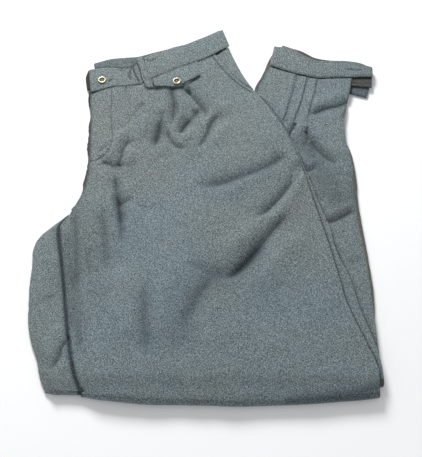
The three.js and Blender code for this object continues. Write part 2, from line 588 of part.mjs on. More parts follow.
function addDisc(name, radius, height, sides, centre, material) {
  const points = [];
  [0, height].forEach((z) => {
    for (let index = 0; index < sides; index += 1) {
      const angle = (2 * Math.PI * index) / sides;
      points.push({ x: centre.x + radius * Math.cos(angle), y: centre.y + radius * Math.sin(angle), z: centre.z + z });
    }
  });
  points.push({ ...centre }, { ...centre, z: centre.z + height * 0.6 });
  const faces = [];
  for (let index = 0; index < sides; index += 1) {
    const next = (index + 1) % sides;
    faces.push(index, next, next + sides, index, next + sides, index + sides);
    faces.push(2 * sides, next, index);
    faces.push(2 * sides + 1, index + sides, next + sides);
  }
  addMesh(name, points, faces, material);
}

// The highest point of a sheet's face under a snap, so that the snap sits on its own cloth.
function seatOn(sheet, centre) {
  let seat = -Infinity;
  for (let j = 0; j < sheet.top.length - 1; j += 1) {
    for (let i = 0; i < sheet.top[j].length - 1; i += 1) {
      const corners = [sheet.top[j][i], sheet.top[j][i + 1], sheet.top[j + 1][i], sheet.top[j + 1][i + 1]];
      steps(6).forEach((u) => steps(6).forEach((v) => {
        const read = (key) => mix(mix(corners[0][key], corners[1][key], u), mix(corners[2][key], corners[3][key], u), v);
        if (Math.hypot(read('x') - centre.x, read('y') - centre.y) < SNAP_RADIUS) seat = Math.max(seat, read('z'));
      }));
    }
  }
  return { ...centre, z: seat + SEAM_GAP };
}

const WAIST_SNAP = seatOn(frontBand, { x: -167, y: 258 });
const FLAP_SNAP = seatOn(flap, { x: -48, y: 252 });
addTurned('waist_snap_ring', RING_PROFILE, 20, WAIST_SNAP, nickel);
addDisc('waist_snap_socket', SOCKET_RADIUS, 0.7, 20, WAIST_SNAP, dark);
addTurned('flap_snap_ring', RING_PROFILE, 20, FLAP_SNAP, nickel);
addDisc('flap_snap_socket', SOCKET_RADIUS, 0.7, 20, FLAP_SNAP, dark);

// The hidden layers, one rounded solid: the folded-up lower legs, and on them the thighs and hips.
// Each row of its outline gives a point on the floor, the height of its edge there and how far in
// that edge runs (as a part of the way to the middle) before the full stack begins.
const HIP_EDGE = [
  { x: -170, y: 284, rim: 1.6, step: 0.12 },
  { x: -160, y: 297, rim: 4.4, step: 0.14 },
  { x: -134, y: 302, rim: 4.5, step: 0.15 },
  { x: -110, y: 304, rim: 4.5, step: 0.15 },
  { x: -86, y: 314, rim: 4.5, step: 0.15 },
  { x: -52, y: 327, rim: 4.5, step: 0.15 },
  { x: -28, y: 336, rim: 4.5, step: 0.14 },
  { x: 0, y: 349, rim: 4.5, step: 0.2 },
  { x: 17, y: 359, rim: 4.5, step: 0.29 },
  { x: 31, y: 330, rim: 4.4, step: 0.27 },
  { x: 41, y: 303, rim: 4.6, step: 0.25 },
  { x: 54, y: 271, rim: 4.8, step: 0.24 },
  { x: 70, y: 238, rim: 5.8, step: 0.22 },
  { x: 96, y: 192, rim: 12.2, step: 0.16 },
  { x: 120, y: 148, rim: 13.0, step: 0.18 },
  { x: 139, y: 102, rim: 13.2, step: 0.2 },
  { x: 155, y: 46, rim: 13.2, step: 0.24 },
  { x: 170, y: -4, rim: 13.2, step: 0.24 },
  { x: 181, y: -48, rim: 13.2, step: 0.22 },
  { x: 195, y: -92, rim: 13.2, step: 0.2 },
  { x: 208, y: -140, rim: 13.2, step: 0.18 },
  { x: 222, y: -184, rim: 13.2, step: 0.15 },
  { x: 229, y: -222, rim: 13.2, step: 0.12 },
  { x: 227, y: -256, rim: 14.0, step: 0.08 },
  { x: 180, y: -264, rim: 15.4, step: 0.05 },
  { x: 126, y: -270, rim: 15.6, step: 0.05 },
  { x: 40, y: -272, rim: 15.6, step: 0.05 },
  { x: -40, y: -269, rim: 15.6, step: 0.06 },
  { x: -110, y: -264, rim: 14.6, step: 0.1 },
  { x: -150, y: -260, rim: 9.6, step: 0.2 },
  { x: -180, y: -258, rim: 9.4, step: 0.3 },
  { x: -214, y: -253, rim: 6.6, step: 0.36 },
  { x: -228, y: -212, rim: 5.0, step: 0.36 },
  { x: -238, y: -183, rim: 4.2, step: 0.36 },
  { x: -245, y: -150, rim: 3.8, step: 0.36 },
  { x: -247, y: -110, rim: 3.6, step: 0.34 },
  { x: -248, y: -75, rim: 3.6, step: 0.32 },
  { x: -248, y: -45, rim: 3.6, step: 0.31 },
  { x: -240, y: -23, rim: 3.6, step: 0.29 },
  { x: -222, y: -5, rim: 3.6, step: 0.24 },
  { x: -204, y: 12, rim: 3.2, step: 0.16 },
  { x: -192, y: 30, rim: 2.4, step: 0.12 },
  { x: -186, y: 52, rim: 2.2, step: 0.12 },
  { x: -184, y: 82, rim: 2.2, step: 0.12 },
  { x: -181, y: 112, rim: 2.2, step: 0.11 },
  { x: -181, y: 147, rim: 2.2, step: 0.11 },
  { x: -181, y: 180, rim: 2.2, step: 0.1 },
  { x: -181, y: 213, rim: 2.2, step: 0.1 },
  { x: -181, y: 240, rim: 2.2, step: 0.1 },
  { x: -170, y: 264, rim: 1.2, step: 0.1 },
];
const SHIN_EDGE = [
  { x: 60, y: -252, rim: 5.0, step: 0.1 },
  { x: -60, y: -200, rim: 5.0, step: 0.1 },
  { x: -60, y: 20, rim: 5.0, step: 0.1 },
  { x: 40, y: 140, rim: 5.0, step: 0.1 },
  { x: 72, y: 220, rim: 5.0, step: 0.1 },
  { x: 84, y: 250, rim: 5.0, step: 0.1 },
  { x: 97, y: 276, rim: 5.0, step: 0.12 },
  { x: 108, y: 306, rim: 4.4, step: 0.16 },
  { x: 118, y: 322, rim: 4.4, step: 0.18 },
  { x: 135, y: 319, rim: 4.4, step: 0.18 },
  { x: 149, y: 309, rim: 4.4, step: 0.18 },
  { x: 164, y: 300, rim: 4.4, step: 0.18 },
  { x: 180, y: 293, rim: 4.4, step: 0.18 },
  { x: 205, y: 292, rim: 4.4, step: 0.18 },
  { x: 226, y: 289, rim: 4.4, step: 0.2 },
  { x: 230, y: 278, rim: 4.2, step: 0.22 },
  { x: 228, y: 262, rim: 3.8, step: 0.2 },
  { x: 225, y: 246, rim: 3.6, step: 0.16 },
  { x: 220, y: 222, rim: 4.2, step: 0.08 },
  { x: 214, y: 200, rim: 4.6, step: 0.06 },
  { x: 209, y: 173, rim: 5.0, step: 0.06 },
  { x: 214, y: 150, rim: 5.0, step: 0.07 },
  { x: 222, y: 122, rim: 5.0, step: 0.09 },
  { x: 226, y: 80, rim: 5.0, step: 0.1 },
  { x: 226, y: 42, rim: 5.0, step: 0.11 },
  { x: 229, y: 2, rim: 5.0, step: 0.11 },
  { x: 234, y: -50, rim: 5.0, step: 0.11 },
  { x: 237, y: -104, rim: 5.0, step: 0.1 },
  { x: 238, y: -150, rim: 5.0, step: 0.1 },
  { x: 236, y: -190, rim: 5.0, step: 0.09 },
  { x: 236, y: -222, rim: 5.0, step: 0.08 },
  { x: 239, y: -240, rim: 5.0, step: 0.07 },
  { x: 241, y: -255, rim: 5.0, step: 0.07 },
  { x: 227, y: -254, rim: 5.2, step: 0.1 },
];
const HIP_MIDDLE = { x: 20, y: -30 };
const SHIN_MIDDLE = { x: 100, y: 0 };

// A rounded slab: its side bulges twice with a groove between, as two folded layers do. It is made
// a little below the floor and cut off there, so that the underside is one plane.
const EDGE_PROFILE = [
  { inset: 2.2, height: 0 },
  { inset: 0.2, height: 0.2 },
  { inset: 0.6, height: 0.42 },
  { inset: 2.2, height: 0.52 },
  { inset: 0.8, height: 0.66 },
  { inset: 1.6, height: 0.9 },
  { inset: 4.2, height: 1 },
];
const EDGE_SPAN = 2;               // points of the ring per row of the outline

function roundedSlab(outline, middle, sink, parts, full) {
  const around = outline.flatMap((row, index) => steps(EDGE_SPAN).slice(0, EDGE_SPAN).map((t) => {
    const next = outline[(index + 1) % outline.length];
    const read = (key) => mix(row[key], next[key], t);
    return { x: read('x'), y: read('y'), rim: read('rim'), step: read('step') };
  }));
  const toMiddle = (point, part, height) => ({
    x: mix(point.x, middle.x, part),
    y: mix(point.y, middle.y, part),
    z: height,
  });
  const rings = EDGE_PROFILE.map((edge) => around.map((point) => {
    const reach = Math.hypot(point.x - middle.x, point.y - middle.y);
    return toMiddle(point, edge.inset / reach, edge.height ? edge.height * point.rim : -sink);
  }));
  rings.push(around.map((point) => toMiddle(point, point.step, point.rim)));
  parts.forEach((further) => rings.push(around.map((point) => {
    const flat = toMiddle(point, mix(point.step, 1, further), 0);
    return { ...flat, z: full(flat.x, flat.y) };
  })));
  const points = [...rings.flat(), { ...middle, z: full(middle.x, middle.y) }, { ...middle, z: -sink }];
  const sides = around.length;
  const faces = [];
  const last = (rings.length - 1) * sides;
  for (let index = 0; index < sides; index += 1) {
    const next = (index + 1) % sides;
    for (let ring = 0; ring < rings.length - 1; ring += 1) {
      const a = ring * sides + index;
      const b = ring * sides + next;
      faces.push(a, a + sides, b + sides, a, b + sides, b);
    }
    faces.push(last + index, points.length - 2, last + next);
    faces.push(index, next, points.length - 1);
  }
  const mesh = new wasm.Mesh({
    numProp: 3,
    vertProperties: new Float32Array(points.flatMap((p) => [p.x, p.y, p.z])),
    triVerts: new Uint32Array(faces),
  });
  return new wasm.Manifold(mesh);
}

const CORE_CLEAR = 3.2;
const hips = roundedSlab(HIP_EDGE, HIP_MIDDLE, 3, [0.06, 0.2, 0.36, 0.55, 0.76], (x, y) => thigh(x - 13, y + 8) - CORE_CLEAR);
const shins = roundedSlab(SHIN_EDGE, SHIN_MIDDLE, 2, [0.05, 0.5], () => LEG_STACK - 0.7);
const core = hips.add(shins).trimByPlane([0, 0, 1], 0).simplify(0.02).getMesh();
const corePoints = [];
for (let index = 0; index < core.vertProperties.length; index += core.numProp) {
  const [x, y, z] = core.vertProperties.slice(index, index + 3);
  corePoints.push({ x, y, z });
}
addMesh('folded_layers', corePoints, Array.from(core.triVerts), facing);

export default group;
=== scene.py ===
# Gaucho trousers of grey melange twill, folded down the centre front, laid flat on a table and
# turned up underneath at the knee. The waist is at the far left, the knee fold at the near side,
# and one pleated cuff comes out at the far right. Tables are in millimetres, the scene in metres.
import math

import bpy
import numpy as np
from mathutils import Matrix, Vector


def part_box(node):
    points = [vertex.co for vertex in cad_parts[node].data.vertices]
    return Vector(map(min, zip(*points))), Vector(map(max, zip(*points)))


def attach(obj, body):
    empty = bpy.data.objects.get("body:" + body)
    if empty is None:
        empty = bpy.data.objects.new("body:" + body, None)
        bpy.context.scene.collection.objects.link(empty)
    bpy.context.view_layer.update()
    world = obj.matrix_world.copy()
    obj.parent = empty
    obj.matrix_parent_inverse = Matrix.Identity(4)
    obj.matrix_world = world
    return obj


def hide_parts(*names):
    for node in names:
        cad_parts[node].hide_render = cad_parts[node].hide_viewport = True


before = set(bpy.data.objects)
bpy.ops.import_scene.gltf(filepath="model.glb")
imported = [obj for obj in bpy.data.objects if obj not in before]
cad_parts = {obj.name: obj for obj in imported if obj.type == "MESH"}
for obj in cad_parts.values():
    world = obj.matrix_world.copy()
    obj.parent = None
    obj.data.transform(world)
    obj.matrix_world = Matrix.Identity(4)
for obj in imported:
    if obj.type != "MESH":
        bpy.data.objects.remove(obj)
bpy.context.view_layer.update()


# The melange twill that every outside panel is cut from: blue-grey yarn spun from light and dark
# fibres, so that it looks speckled, with slubs both ways, a soft nap and a fine diagonal rib.
def node_material(name):
    """A new material, its nodes and links, and its Principled shader."""
    material = bpy.data.materials.new(name)
    material.use_nodes = True
    nodes, links = material.node_tree.nodes, material.node_tree.links
    return material, nodes, links, nodes["Principled BSDF"]


def with_inputs(node, **values):
    """The node with some inputs set, each named with _ for a space."""
    for label, value in values.items():
        node.inputs[label.replace("_", " ")].default_value = value
    return node


def colour_ramp(nodes, first, last, *between):
    """A colour ramp through stops of a place from 0 to 1 and a colour."""
    node = nodes.new("ShaderNodeValToRGB")
    elements = node.color_ramp.elements
    for element, (place, colour) in zip(elements, (first, last)):
        element.position, element.color = place, colour
    for place, colour in between:
        elements.new(place).color = colour
    return node


def melange(name, dark, middle, light, cool, warm):
    """Twill whose yarn runs from dark to light, tinted from cool to warm by a mesh's warmth and
    darkened where shade is painted into its per-point attribute."""
    material, nodes, links, shader = node_material(name)
    with_inputs(shader, Roughness=0.94, Specular_IOR_Level=0.16, Sheen_Weight=0.22, Sheen_Roughness=0.45)
    cut = nodes.new("ShaderNodeUVMap")
    cut.uv_map = "cut"
    place = nodes.new("ShaderNodeTexCoord")

    def yarn(stretch, scale, detail, turn):
        """Speckle in the cut cloth, drawn out along the way where stretch is under 1."""
        laid = with_inputs(nodes.new("ShaderNodeMapping"), Scale=stretch, Rotation=(0, 0, math.radians(turn)))
        links.new(cut.outputs["UV"], laid.inputs["Vector"])
        noise = with_inputs(nodes.new("ShaderNodeTexNoise"), Scale=scale, Detail=detail, Roughness=0.62)
        links.new(laid.outputs["Vector"], noise.inputs["Vector"])
        return noise.outputs["Fac"]

    def blend(kind, first, second, value=None):
        """A sum of sockets or numbers."""
        node = nodes.new("ShaderNodeMath")
        node.operation = kind
        for socket, source in zip(node.inputs, (first, second, value)):
            if source is None:
                continue
            if isinstance(source, (int, float)):
                socket.default_value = source
            else:
                links.new(source, socket)
        return node.outputs["Value"]

    def tint(factor, first, second, mode="MIX"):
        """A mix of two colours, each a socket or a plain colour."""
        node = nodes.new("ShaderNodeMix")
        node.data_type = "RGBA"
        node.blend_type = mode
        for label, source in (("Factor", factor), ("A", first), ("B", second)):
            socket = node.inputs[label]
            if isinstance(source, (int, float, tuple)):
                socket.default_value = source
            else:
                links.new(source, socket)
        return node.outputs["Result"]

    fleck = yarn((1, 1, 1), 1400, 2, 17)
    fibre = with_inputs(nodes.new("ShaderNodeTexVoronoi"), Scale=1250)
    links.new(cut.outputs["UV"], fibre.inputs["Vector"])
    grain = nodes.new("ShaderNodeSeparateColor")
    links.new(fibre.outputs["Color"], grain.inputs["Color"])
    weft = yarn((0.3, 1, 1), 1300, 2, 5)
    warp = yarn((1, 0.3, 1), 1300, 2, 5)
    rib = with_inputs(nodes.new("ShaderNodeTexWave"), Scale=190, Distortion=2.5, Detail=1, Detail_Scale=2)
    diagonal = with_inputs(nodes.new("ShaderNodeMapping"), Rotation=(0, 0, math.radians(38)))
    links.new(cut.outputs["UV"], diagonal.inputs["Vector"])
    links.new(diagonal.outputs["Vector"], rib.inputs["Vector"])
    spun = blend("MULTIPLY_ADD", fleck, 0.32, blend("MULTIPLY_ADD", weft, 0.3, blend("MULTIPLY", warp, 0.26)))
    spun = blend("MULTIPLY_ADD", grain.outputs["Red"], 0.12, spun)
    spun = blend("MULTIPLY_ADD", rib.outputs["Fac"], 0.03, blend("SUBTRACT", spun, 0.015))
    tone = colour_ramp(nodes, (0.425, dark), (0.575, light), (0.5, middle))
    links.new(spun, tone.inputs["Fac"])

    cloud = with_inputs(nodes.new("ShaderNodeTexNoise"), Scale=11, Detail=2)
    links.new(place.outputs["Object"], cloud.inputs["Vector"])
    drift = with_inputs(nodes.new("ShaderNodeMapRange"), From_Min=0.3, From_Max=0.7,
                        To_Min=-0.25, To_Max=0.25)
    links.new(cloud.outputs["Fac"], drift.inputs["Value"])
    warmth = nodes.new("ShaderNodeAttribute")
    warmth.attribute_name = "warmth"
    cast = tint(blend("ADD", warmth.outputs["Fac"], drift.outputs["Result"]), cool, warm)
    shade = tint(1.0, tone.outputs["Color"], cast, "MULTIPLY")
    # Painted shade: a per-point attribute marks where the cloth lies in shade, in folds, along seams and
    # under overlaps. There the colour is darkened towards a grey-blue tint.
    painted_shade = nodes.new("ShaderNodeAttribute")
    painted_shade.attribute_name = "painted_shade"
    darkest_painted_shade = tint(1.0, shade, (0.21, 0.24, 0.27, 1), "MULTIPLY")
    shade = tint(painted_shade.outputs["Fac"], shade, darkest_painted_shade)
    links.new(shade, shader.inputs["Base Color"])
    bump = with_inputs(nodes.new("ShaderNodeBump"), Strength=0.55, Distance=0.0005)
    links.new(blend("MULTIPLY_ADD", rib.outputs["Fac"], 0.25, spun), bump.inputs["Height"])
    links.new(bump.outputs["Normal"], shader.inputs["Normal"])
    return material


outside = melange("melange_twill", dark=(0.034, 0.045, 0.050, 1), middle=(0.122, 0.152, 0.162, 1),
                  light=(0.320, 0.368, 0.376, 1), cool=(0.93, 1.0, 1.05, 1), warm=(1.05, 1.0, 0.93, 1))
# Painted shade: a darker, browner copy of the same twill, for cloth that lies in shade. It is used for the
# hidden layers, the cuff's back half, the fly shield and the waistband's right end.
twill_in_painted_shade = melange("twill_with_painted_shade", dark=(0.026, 0.026, 0.023, 1), middle=(0.088, 0.086, 0.076, 1),
                 light=(0.210, 0.206, 0.186, 1), cool=(1.0, 1.0, 0.99, 1), warm=(1.02, 1.0, 0.96, 1))


# The hidden layers. Under the left front lie the other leg and both folded-up lower legs, which
# show at the sides alone, as a stack of rolled edges. They are two rounded stacks on the table.
MM = 0.001
CENTRE = (6.4, 39.6)  # the place in the tables that the scene has at its origin
HIP_EDGE = [  # on the table x, y, height of the edge there, and how much of the way in it rounds off
    (-170, 284, 1.6, 0.12), (-160, 297, 4.4, 0.14), (-134, 302, 4.5, 0.15), (-110, 304, 4.5, 0.15),
    (-86, 314, 4.5, 0.15), (-52, 327, 4.5, 0.15), (-28, 336, 4.5, 0.14), (0, 349, 4.5, 0.2),
    (17, 359, 4.5, 0.29), (31, 330, 4.4, 0.27), (41, 303, 4.6, 0.25), (54, 271, 4.8, 0.24),
    (70, 238, 5.8, 0.22), (96, 192, 12.2, 0.16), (120, 148, 13.0, 0.18), (139, 102, 13.2, 0.2),
    (155, 46, 13.2, 0.24), (170, -4, 13.2, 0.24), (181, -48, 13.2, 0.22), (195, -92, 13.2, 0.2),
    (208, -140, 13.2, 0.18), (222, -184, 13.2, 0.15), (229, -222, 12.0, 0.12), (227, -256, 9.6, 0.08),
    (180, -264, 9.8, 0.05), (126, -270, 9.8, 0.05), (40, -272, 9.8, 0.05), (-40, -269, 9.8, 0.06),
    (-110, -264, 9.4, 0.1), (-150, -260, 8.0, 0.2), (-180, -258, 7.0, 0.3), (-214, -253, 5.0, 0.36),
    (-228, -212, 5.0, 0.36), (-238, -183, 4.2, 0.36), (-245, -150, 3.8, 0.36), (-247, -110, 3.6, 0.34),
    (-248, -75, 3.6, 0.32), (-248, -45, 3.6, 0.31), (-240, -23, 3.6, 0.29), (-222, -5, 3.6, 0.24),
    (-204, 12, 3.2, 0.16), (-192, 30, 2.4, 0.12), (-186, 52, 2.2, 0.12), (-184, 82, 2.2, 0.12),
    (-181, 112, 2.2, 0.11), (-181, 147, 2.2, 0.11), (-181, 180, 2.2, 0.1), (-181, 213, 2.2, 0.1),
    (-181, 240, 2.2, 0.1), (-170, 264, 1.2, 0.1),
]
SHIN_EDGE = [  # the same for the two lower legs
    (60, -252, 5.0, 0.1), (-60, -200, 5.0, 0.1), (-60, 20, 5.0, 0.1), (40, 140, 5.0, 0.1),
    (67, 222, 5.0, 0.1), (77, 252, 5.0, 0.1), (89.5, 278, 5.0, 0.12), (100.5, 307, 4.4, 0.16),
    (113, 324, 4.4, 0.18), (135, 319, 4.4, 0.18), (149, 309, 4.4, 0.18), (164, 300, 4.4, 0.18),
    (180, 293, 4.4, 0.18), (205, 292, 4.4, 0.18), (226, 289, 4.4, 0.2), (230, 278, 4.2, 0.22),
    (228, 262, 3.8, 0.2), (225, 246, 3.6, 0.16), (220, 222, 4.2, 0.08), (214, 200, 4.6, 0.06),
    (209, 173, 5.0, 0.06), (214, 150, 5.0, 0.07), (222, 122, 5.0, 0.09), (226, 80, 5.0, 0.1),
    (226, 42, 5.0, 0.11), (229, 2, 5.0, 0.11), (234, -50, 5.0, 0.11), (237, -104, 5.0, 0.1),
    (236.5, -150, 5.0, 0.1), (232.5, -190, 5.0, 0.09), (235, -222, 5.0, 0.08), (240.5, -240, 5.0, 0.07),
    (241.5, -252, 5.0, 0.07), (239, -256, 5.0, 0.08), (232, -257, 5.2, 0.1), (222, -255, 5.2, 0.1),
]


def ease(value):
    """A smooth step from 0 to 1 as the value goes from 0 to 1."""
    t = np.clip(value, 0, 1)
    return t * t * (3 - 2 * t)


def over_shin(x, y):
    """1 where the folded-up lower legs lie under the thigh, 0 where they don't."""
    (ax, ay), (bx, by), wide = (77, 238), (-205, -230), 150
    side = ((x - ax) * (by - ay) - (y - ay) * (bx - ax)) / math.hypot(bx - ax, by - ay)
    return ease(0.5 - side / wide)


def thigh(x, y):
    """Height of the surface that the left leg's panels lie on, 9.4 mm more over the lower legs."""
    return 10 + 9.4 * over_shin(x, y)


def droop(y):
    """0 on the flat to 1 at the knee fold, where the stack is pressed thinner."""
    return ease((-236 - y) / 36)


def knee_pull(y):
    """How far the cloth is drawn in towards the waist: 0 on the flat to 5.8 mm at the knee fold."""
    return 5.8 * ease((-228 - y) / 44)


def sway(x, y, seed, length, rise):
    """Seeded waves of about one length and rise, for cloth that never lies quite flat."""
    chance = np.random.default_rng(seed)
    total = 0
    for _ in range(9):
        angle, start = chance.uniform(0, 2 * math.pi, 2)
        wave = length * chance.uniform(0.7, 1.5)
        total = total + np.sin((x * math.cos(angle) + y * math.sin(angle)) * 2 * math.pi / wave + start)
    return rise * total / 3


WARM_SPOTS = [  # where the cloth looks browner (1) or bluer (-1): x, y, how far it reaches, how much
    (-150, 200, 70, 0.7), (-170, 90, 60, 0.6), (-60, 150, 60, 0.5), (60, 230, 70, 0.4),
    (-90, -10, 50, -0.5), (-20, 100, 60, -0.3), (-60, -90, 60, -0.4), (-130, -190, 90, -0.5),
    (120, -150, 110, -0.8), (60, -60, 60, 0.2), (200, -60, 60, 0.3), (170, 220, 70, -0.5),
    (170, 290, 60, 0.1), (-230, -80, 50, 0.3), (20, -230, 90, -0.1),
]


def make_mesh(name, points, faces, cut, material, painted_shade=None):
    """A mesh from points in the tables' millimetres, with where each lies on the cut cloth as its
    UV map, and with how brown (warmth) and how much painted shade the cloth has at each point."""
    mesh = bpy.data.meshes.new(name)
    points = np.asarray(points, float)
    warmth = 0.5 + sum(0.5 * much * np.exp(-((points[:, 0] - wx) ** 2 + (points[:, 1] - wy) ** 2) / far ** 2)
                       for wx, wy, far, much in WARM_SPOTS)
    points = points - (CENTRE[0], CENTRE[1], 0)
    points[:, 1] += knee_pull(points[:, 1] + CENTRE[1])
    mesh.from_pydata((points * MM).tolist(), [], faces)
    spots = mesh.attributes.new("warmth", "FLOAT", "POINT")
    spots.data.foreach_set("value", warmth)
    corners = np.empty(len(mesh.loops), int)
    mesh.loops.foreach_get("vertex_index", corners)
    layer = mesh.uv_layers.new(name="cut")
    layer.data.foreach_set("uv", np.asarray(cut, float)[corners].ravel() * MM)
    # Painted shade, kept as a per-point attribute that darkens the colour.
    if painted_shade is not None:
        spots = mesh.attributes.new("painted_shade", "FLOAT", "POINT")
        spots.data.foreach_set("value", np.asarray(painted_shade, float))
    mesh.materials.append(material)
    mesh.shade_smooth()
    mesh.set_sharp_from_angle(angle=math.radians(58))
    piece = bpy.data.objects.new(name, mesh)
    bpy.context.scene.collection.objects.link(piece)
    return piece


def curve_value(before, a, b, after, t):
    """A value t of the way from a to b, on a smooth curve that takes in the ones before and after."""
    leave, arrive = (b - before) / 2, (after - a) / 2
    return (a + leave * t + (3 * (b - a) - 2 * leave - arrive) * t ** 2
            + (2 * (a - b) + leave + arrive) * t ** 3)


def layered_stack(name, outline, middle, layers, full, further, seed):
    """A rounded stack of folded cloth: every layer bulges at the side and has its own waviness.
    full gives the height of its top, and further how much of the way in each ring of it lies."""
    rows, parts = np.array(outline, float), 14
    count = parts * len(rows)
    reach = np.arange(count) / parts
    k = reach.astype(int)
    neighbours = (rows[(k + offset) % len(rows)] for offset in (-1, 0, 1, 2))
    x, y, rim, rounding = curve_value(*neighbours, (reach - k)[:, None]).T
    away = np.hypot(x - middle[0], y - middle[1])
    around = np.concatenate([[0], np.cumsum(np.hypot(np.diff(x), np.diff(y)))])

    def inward(part, height):
        """The outline moved part of the way to the middle, at a height."""
        return np.stack([x + (middle[0] - x) * part, y + (middle[1] - y) * part, height], -1)

    rings = [inward(2.4 / away, np.zeros(count))]
    up = [0.0]
    for layer in range(layers):
        own = 1.3 + sway(x, y, seed + layer, 90, 0.8) + sway(x, y, seed + 20 + layer, 24, 0.35)
        top = layer == layers - 1
        for part in (0.08, 0.22, 0.5, 0.78, 0.92) + (() if top else (1.0,)):
            bulge = 1 - math.sqrt(max(0, 1 - (2 * part - 1) ** 2))
            inset = np.maximum(own, 0.1) + (2.2 + 0.6 * top) * bulge
            height = (layer + part) / layers * rim
            rings.append(inward(inset / away, height))
            up.append((layer + part) * 12)
    rings.append(inward((np.maximum(own, 0.1) + 4.2) / away, rim))
    rings.append(inward(rounding, rim))
    up += [up[-1] + 4, up[-1] + 30]
    for part in further:
        flat = inward(rounding + (1 - rounding) * part, rim)
        flat[:, 2] = full(flat[:, 0], flat[:, 1])
        rings.append(flat)
        up.append(up[-1] + 40)
    points = np.concatenate(rings + [[[*middle, float(full(*middle))], [*middle, 0]]])
    cut = np.concatenate([np.stack([around, np.full(count, v)], -1) for v in up] + [[[0, 0], [0, 0]]])
    faces = []
    last = (len(rings) - 1) * count
    for index in range(count):
        following = (index + 1) % count
        for start in range(0, last, count):
            faces.append((start + index, start + count + index, start + count + following, start + following))
        faces.append((last + index, len(points) - 2, last + following))
        faces.append((index, following, len(points) - 1))
    # The stacks are cut from the copy of the twill with painted shade.
    return make_mesh(name, points, faces, cut, twill_in_painted_shade, np.zeros(len(points)))


hip_layers = layered_stack("hip_layers", HIP_EDGE, middle=(20, -30), layers=4,
                           full=lambda x, y: thigh(x - 13, y + 8) - 8.5,
                           further=(0.06, 0.2, 0.36, 0.55, 0.76), seed=3)
shin_layers = layered_stack("shin_layers", SHIN_EDGE, middle=(100, 0), layers=2,
                            full=lambda x, y: 3.5 + 0 * x, further=(0.05, 0.5), seed=8)
for piece in (hip_layers, shin_layers):
    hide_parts("folded_layers")
    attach(piece, "root")


# Right back: the under leg seen beyond the left leg's inner seam. One panel of twill, folded on
# its own inner seam at the left and turned down round the knee fold with the rest.
STRIP_ROWS = [  # its inner seam x, y, and where it runs in under the left leg x, y
    (-205, 17, -184, 2), (-227, -3, -193, -24), (-244, -21, -192, -48), (-252, -43, -189, -72),
    (-252, -75, -185, -98), (-252, -110, -179, -126), (-250.5, -150, -171, -158), (-244, -184, -164, -190),
    (-233, -215, -157, -218), (-225, -243, -152, -245), (-219, -263, -147, -264),
]
# A row for each fold: its path, its width on its left and right, how high it rises (a dent is below
# 0) and how much of it fades in at the start and out at the end.
STRIP_FOLDS = [
    ([(-188, -181), (-198, -195), (-203, -213), (-212, -233)], 4.5, 5, -3.4, 0.04, 0.25),
    ([(-184, -198), (-190, -216), (-198, -240)], 8, 7, 1.8, 0.2, 0.3),
    ([(-204, -160), (-213, -190), (-220, -224)], 9, 8, 1.8, 0.2, 0.3),
    ([(-238, -131), (-225, -121), (-212, -117)], 4, 4, -1.2, 0.2, 0.3),
    ([(-222, -40), (-226, -84), (-218, -130)], 9, 12, 1.4, 0.3, 0.3),
    ([(-206, -46), (-207, -92), (-198, -140)], 6, 9, -1.3, 0.3, 0.3),
]


def read_rows(column, place):
    """A column of a piece's table, read smoothly from its first row (0) to its last (1)."""
    column = np.asarray(column, float)
    last = len(column) - 1
    reach = np.clip(place, 0, 1) * last
    k = np.minimum(reach.astype(int), last - 1)
    return curve_value(column[np.maximum(k - 1, 0)], column[k], column[k + 1],
                       column[np.minimum(k + 2, last)], reach - k)


def panel_plan(rows, across, along):
    """A point of a panel from its table: left edge, half way (where given) and right edge."""
    columns = np.array(rows, float).T
    if len(columns) == 4:
        lx, ly, rx, ry = columns
        columns = (lx, ly, (lx + rx) / 2, (ly + ry) / 2, rx, ry)
    lx, ly, mx, my, rx, ry = (read_rows(column, along) for column in columns)
    x = lx + (4 * mx - 3 * lx - rx) * across + (2 * lx + 2 * rx - 4 * mx) * across ** 2
    y = ly + (4 * my - 3 * ly - ry) * across + (2 * ly + 2 * ry - 4 * my) * across ** 2
    return x, y


def grid_lines(width, count):
    """count places from 0 to 1 over each width in mm, closest where the two edges round off."""
    width = np.atleast_1d(np.asarray(width, float))[:, None]
    edge = np.array((0.0, 0.25, 0.7, 1.4, 2.4)) / width
    inner = count - 2 * edge.shape[1]
    between = edge[:, -1:] + (1 - 2 * edge[:, -1:]) * np.arange(1, inner + 1) / (inner + 1)
    return np.hstack([edge, between, 1 - edge[:, ::-1]])


def panel_grid(rows, length, columns, lines, turned=()):
    """Across and along, from 0 to 1, for every point of a panel's grid of so many columns and lines,
    closest at its edges. Along goes past 1 by the steps in turned, where it turns at the knee."""
    along = np.concatenate([grid_lines(length, lines)[0], 1 + np.asarray(turned, float)])
    table = np.array(rows, float)
    width = np.hypot(read_rows(table[:, 0], along) - read_rows(table[:, -2], along),
                     read_rows(table[:, 1], along) - read_rows(table[:, -1], along))
    across = grid_lines(width, columns)
    return across, np.repeat(along[:, None], across.shape[1], 1)


def smooth_path(points, parts=8):
    """A line's points joined by a smooth curve, with so many parts between each two."""
    points = np.array(points, float)
    place = np.linspace(0, 1, parts * (len(points) - 1) + 1)
    return np.stack([read_rows(points[:, 0], place), read_rows(points[:, 1], place)], -1)


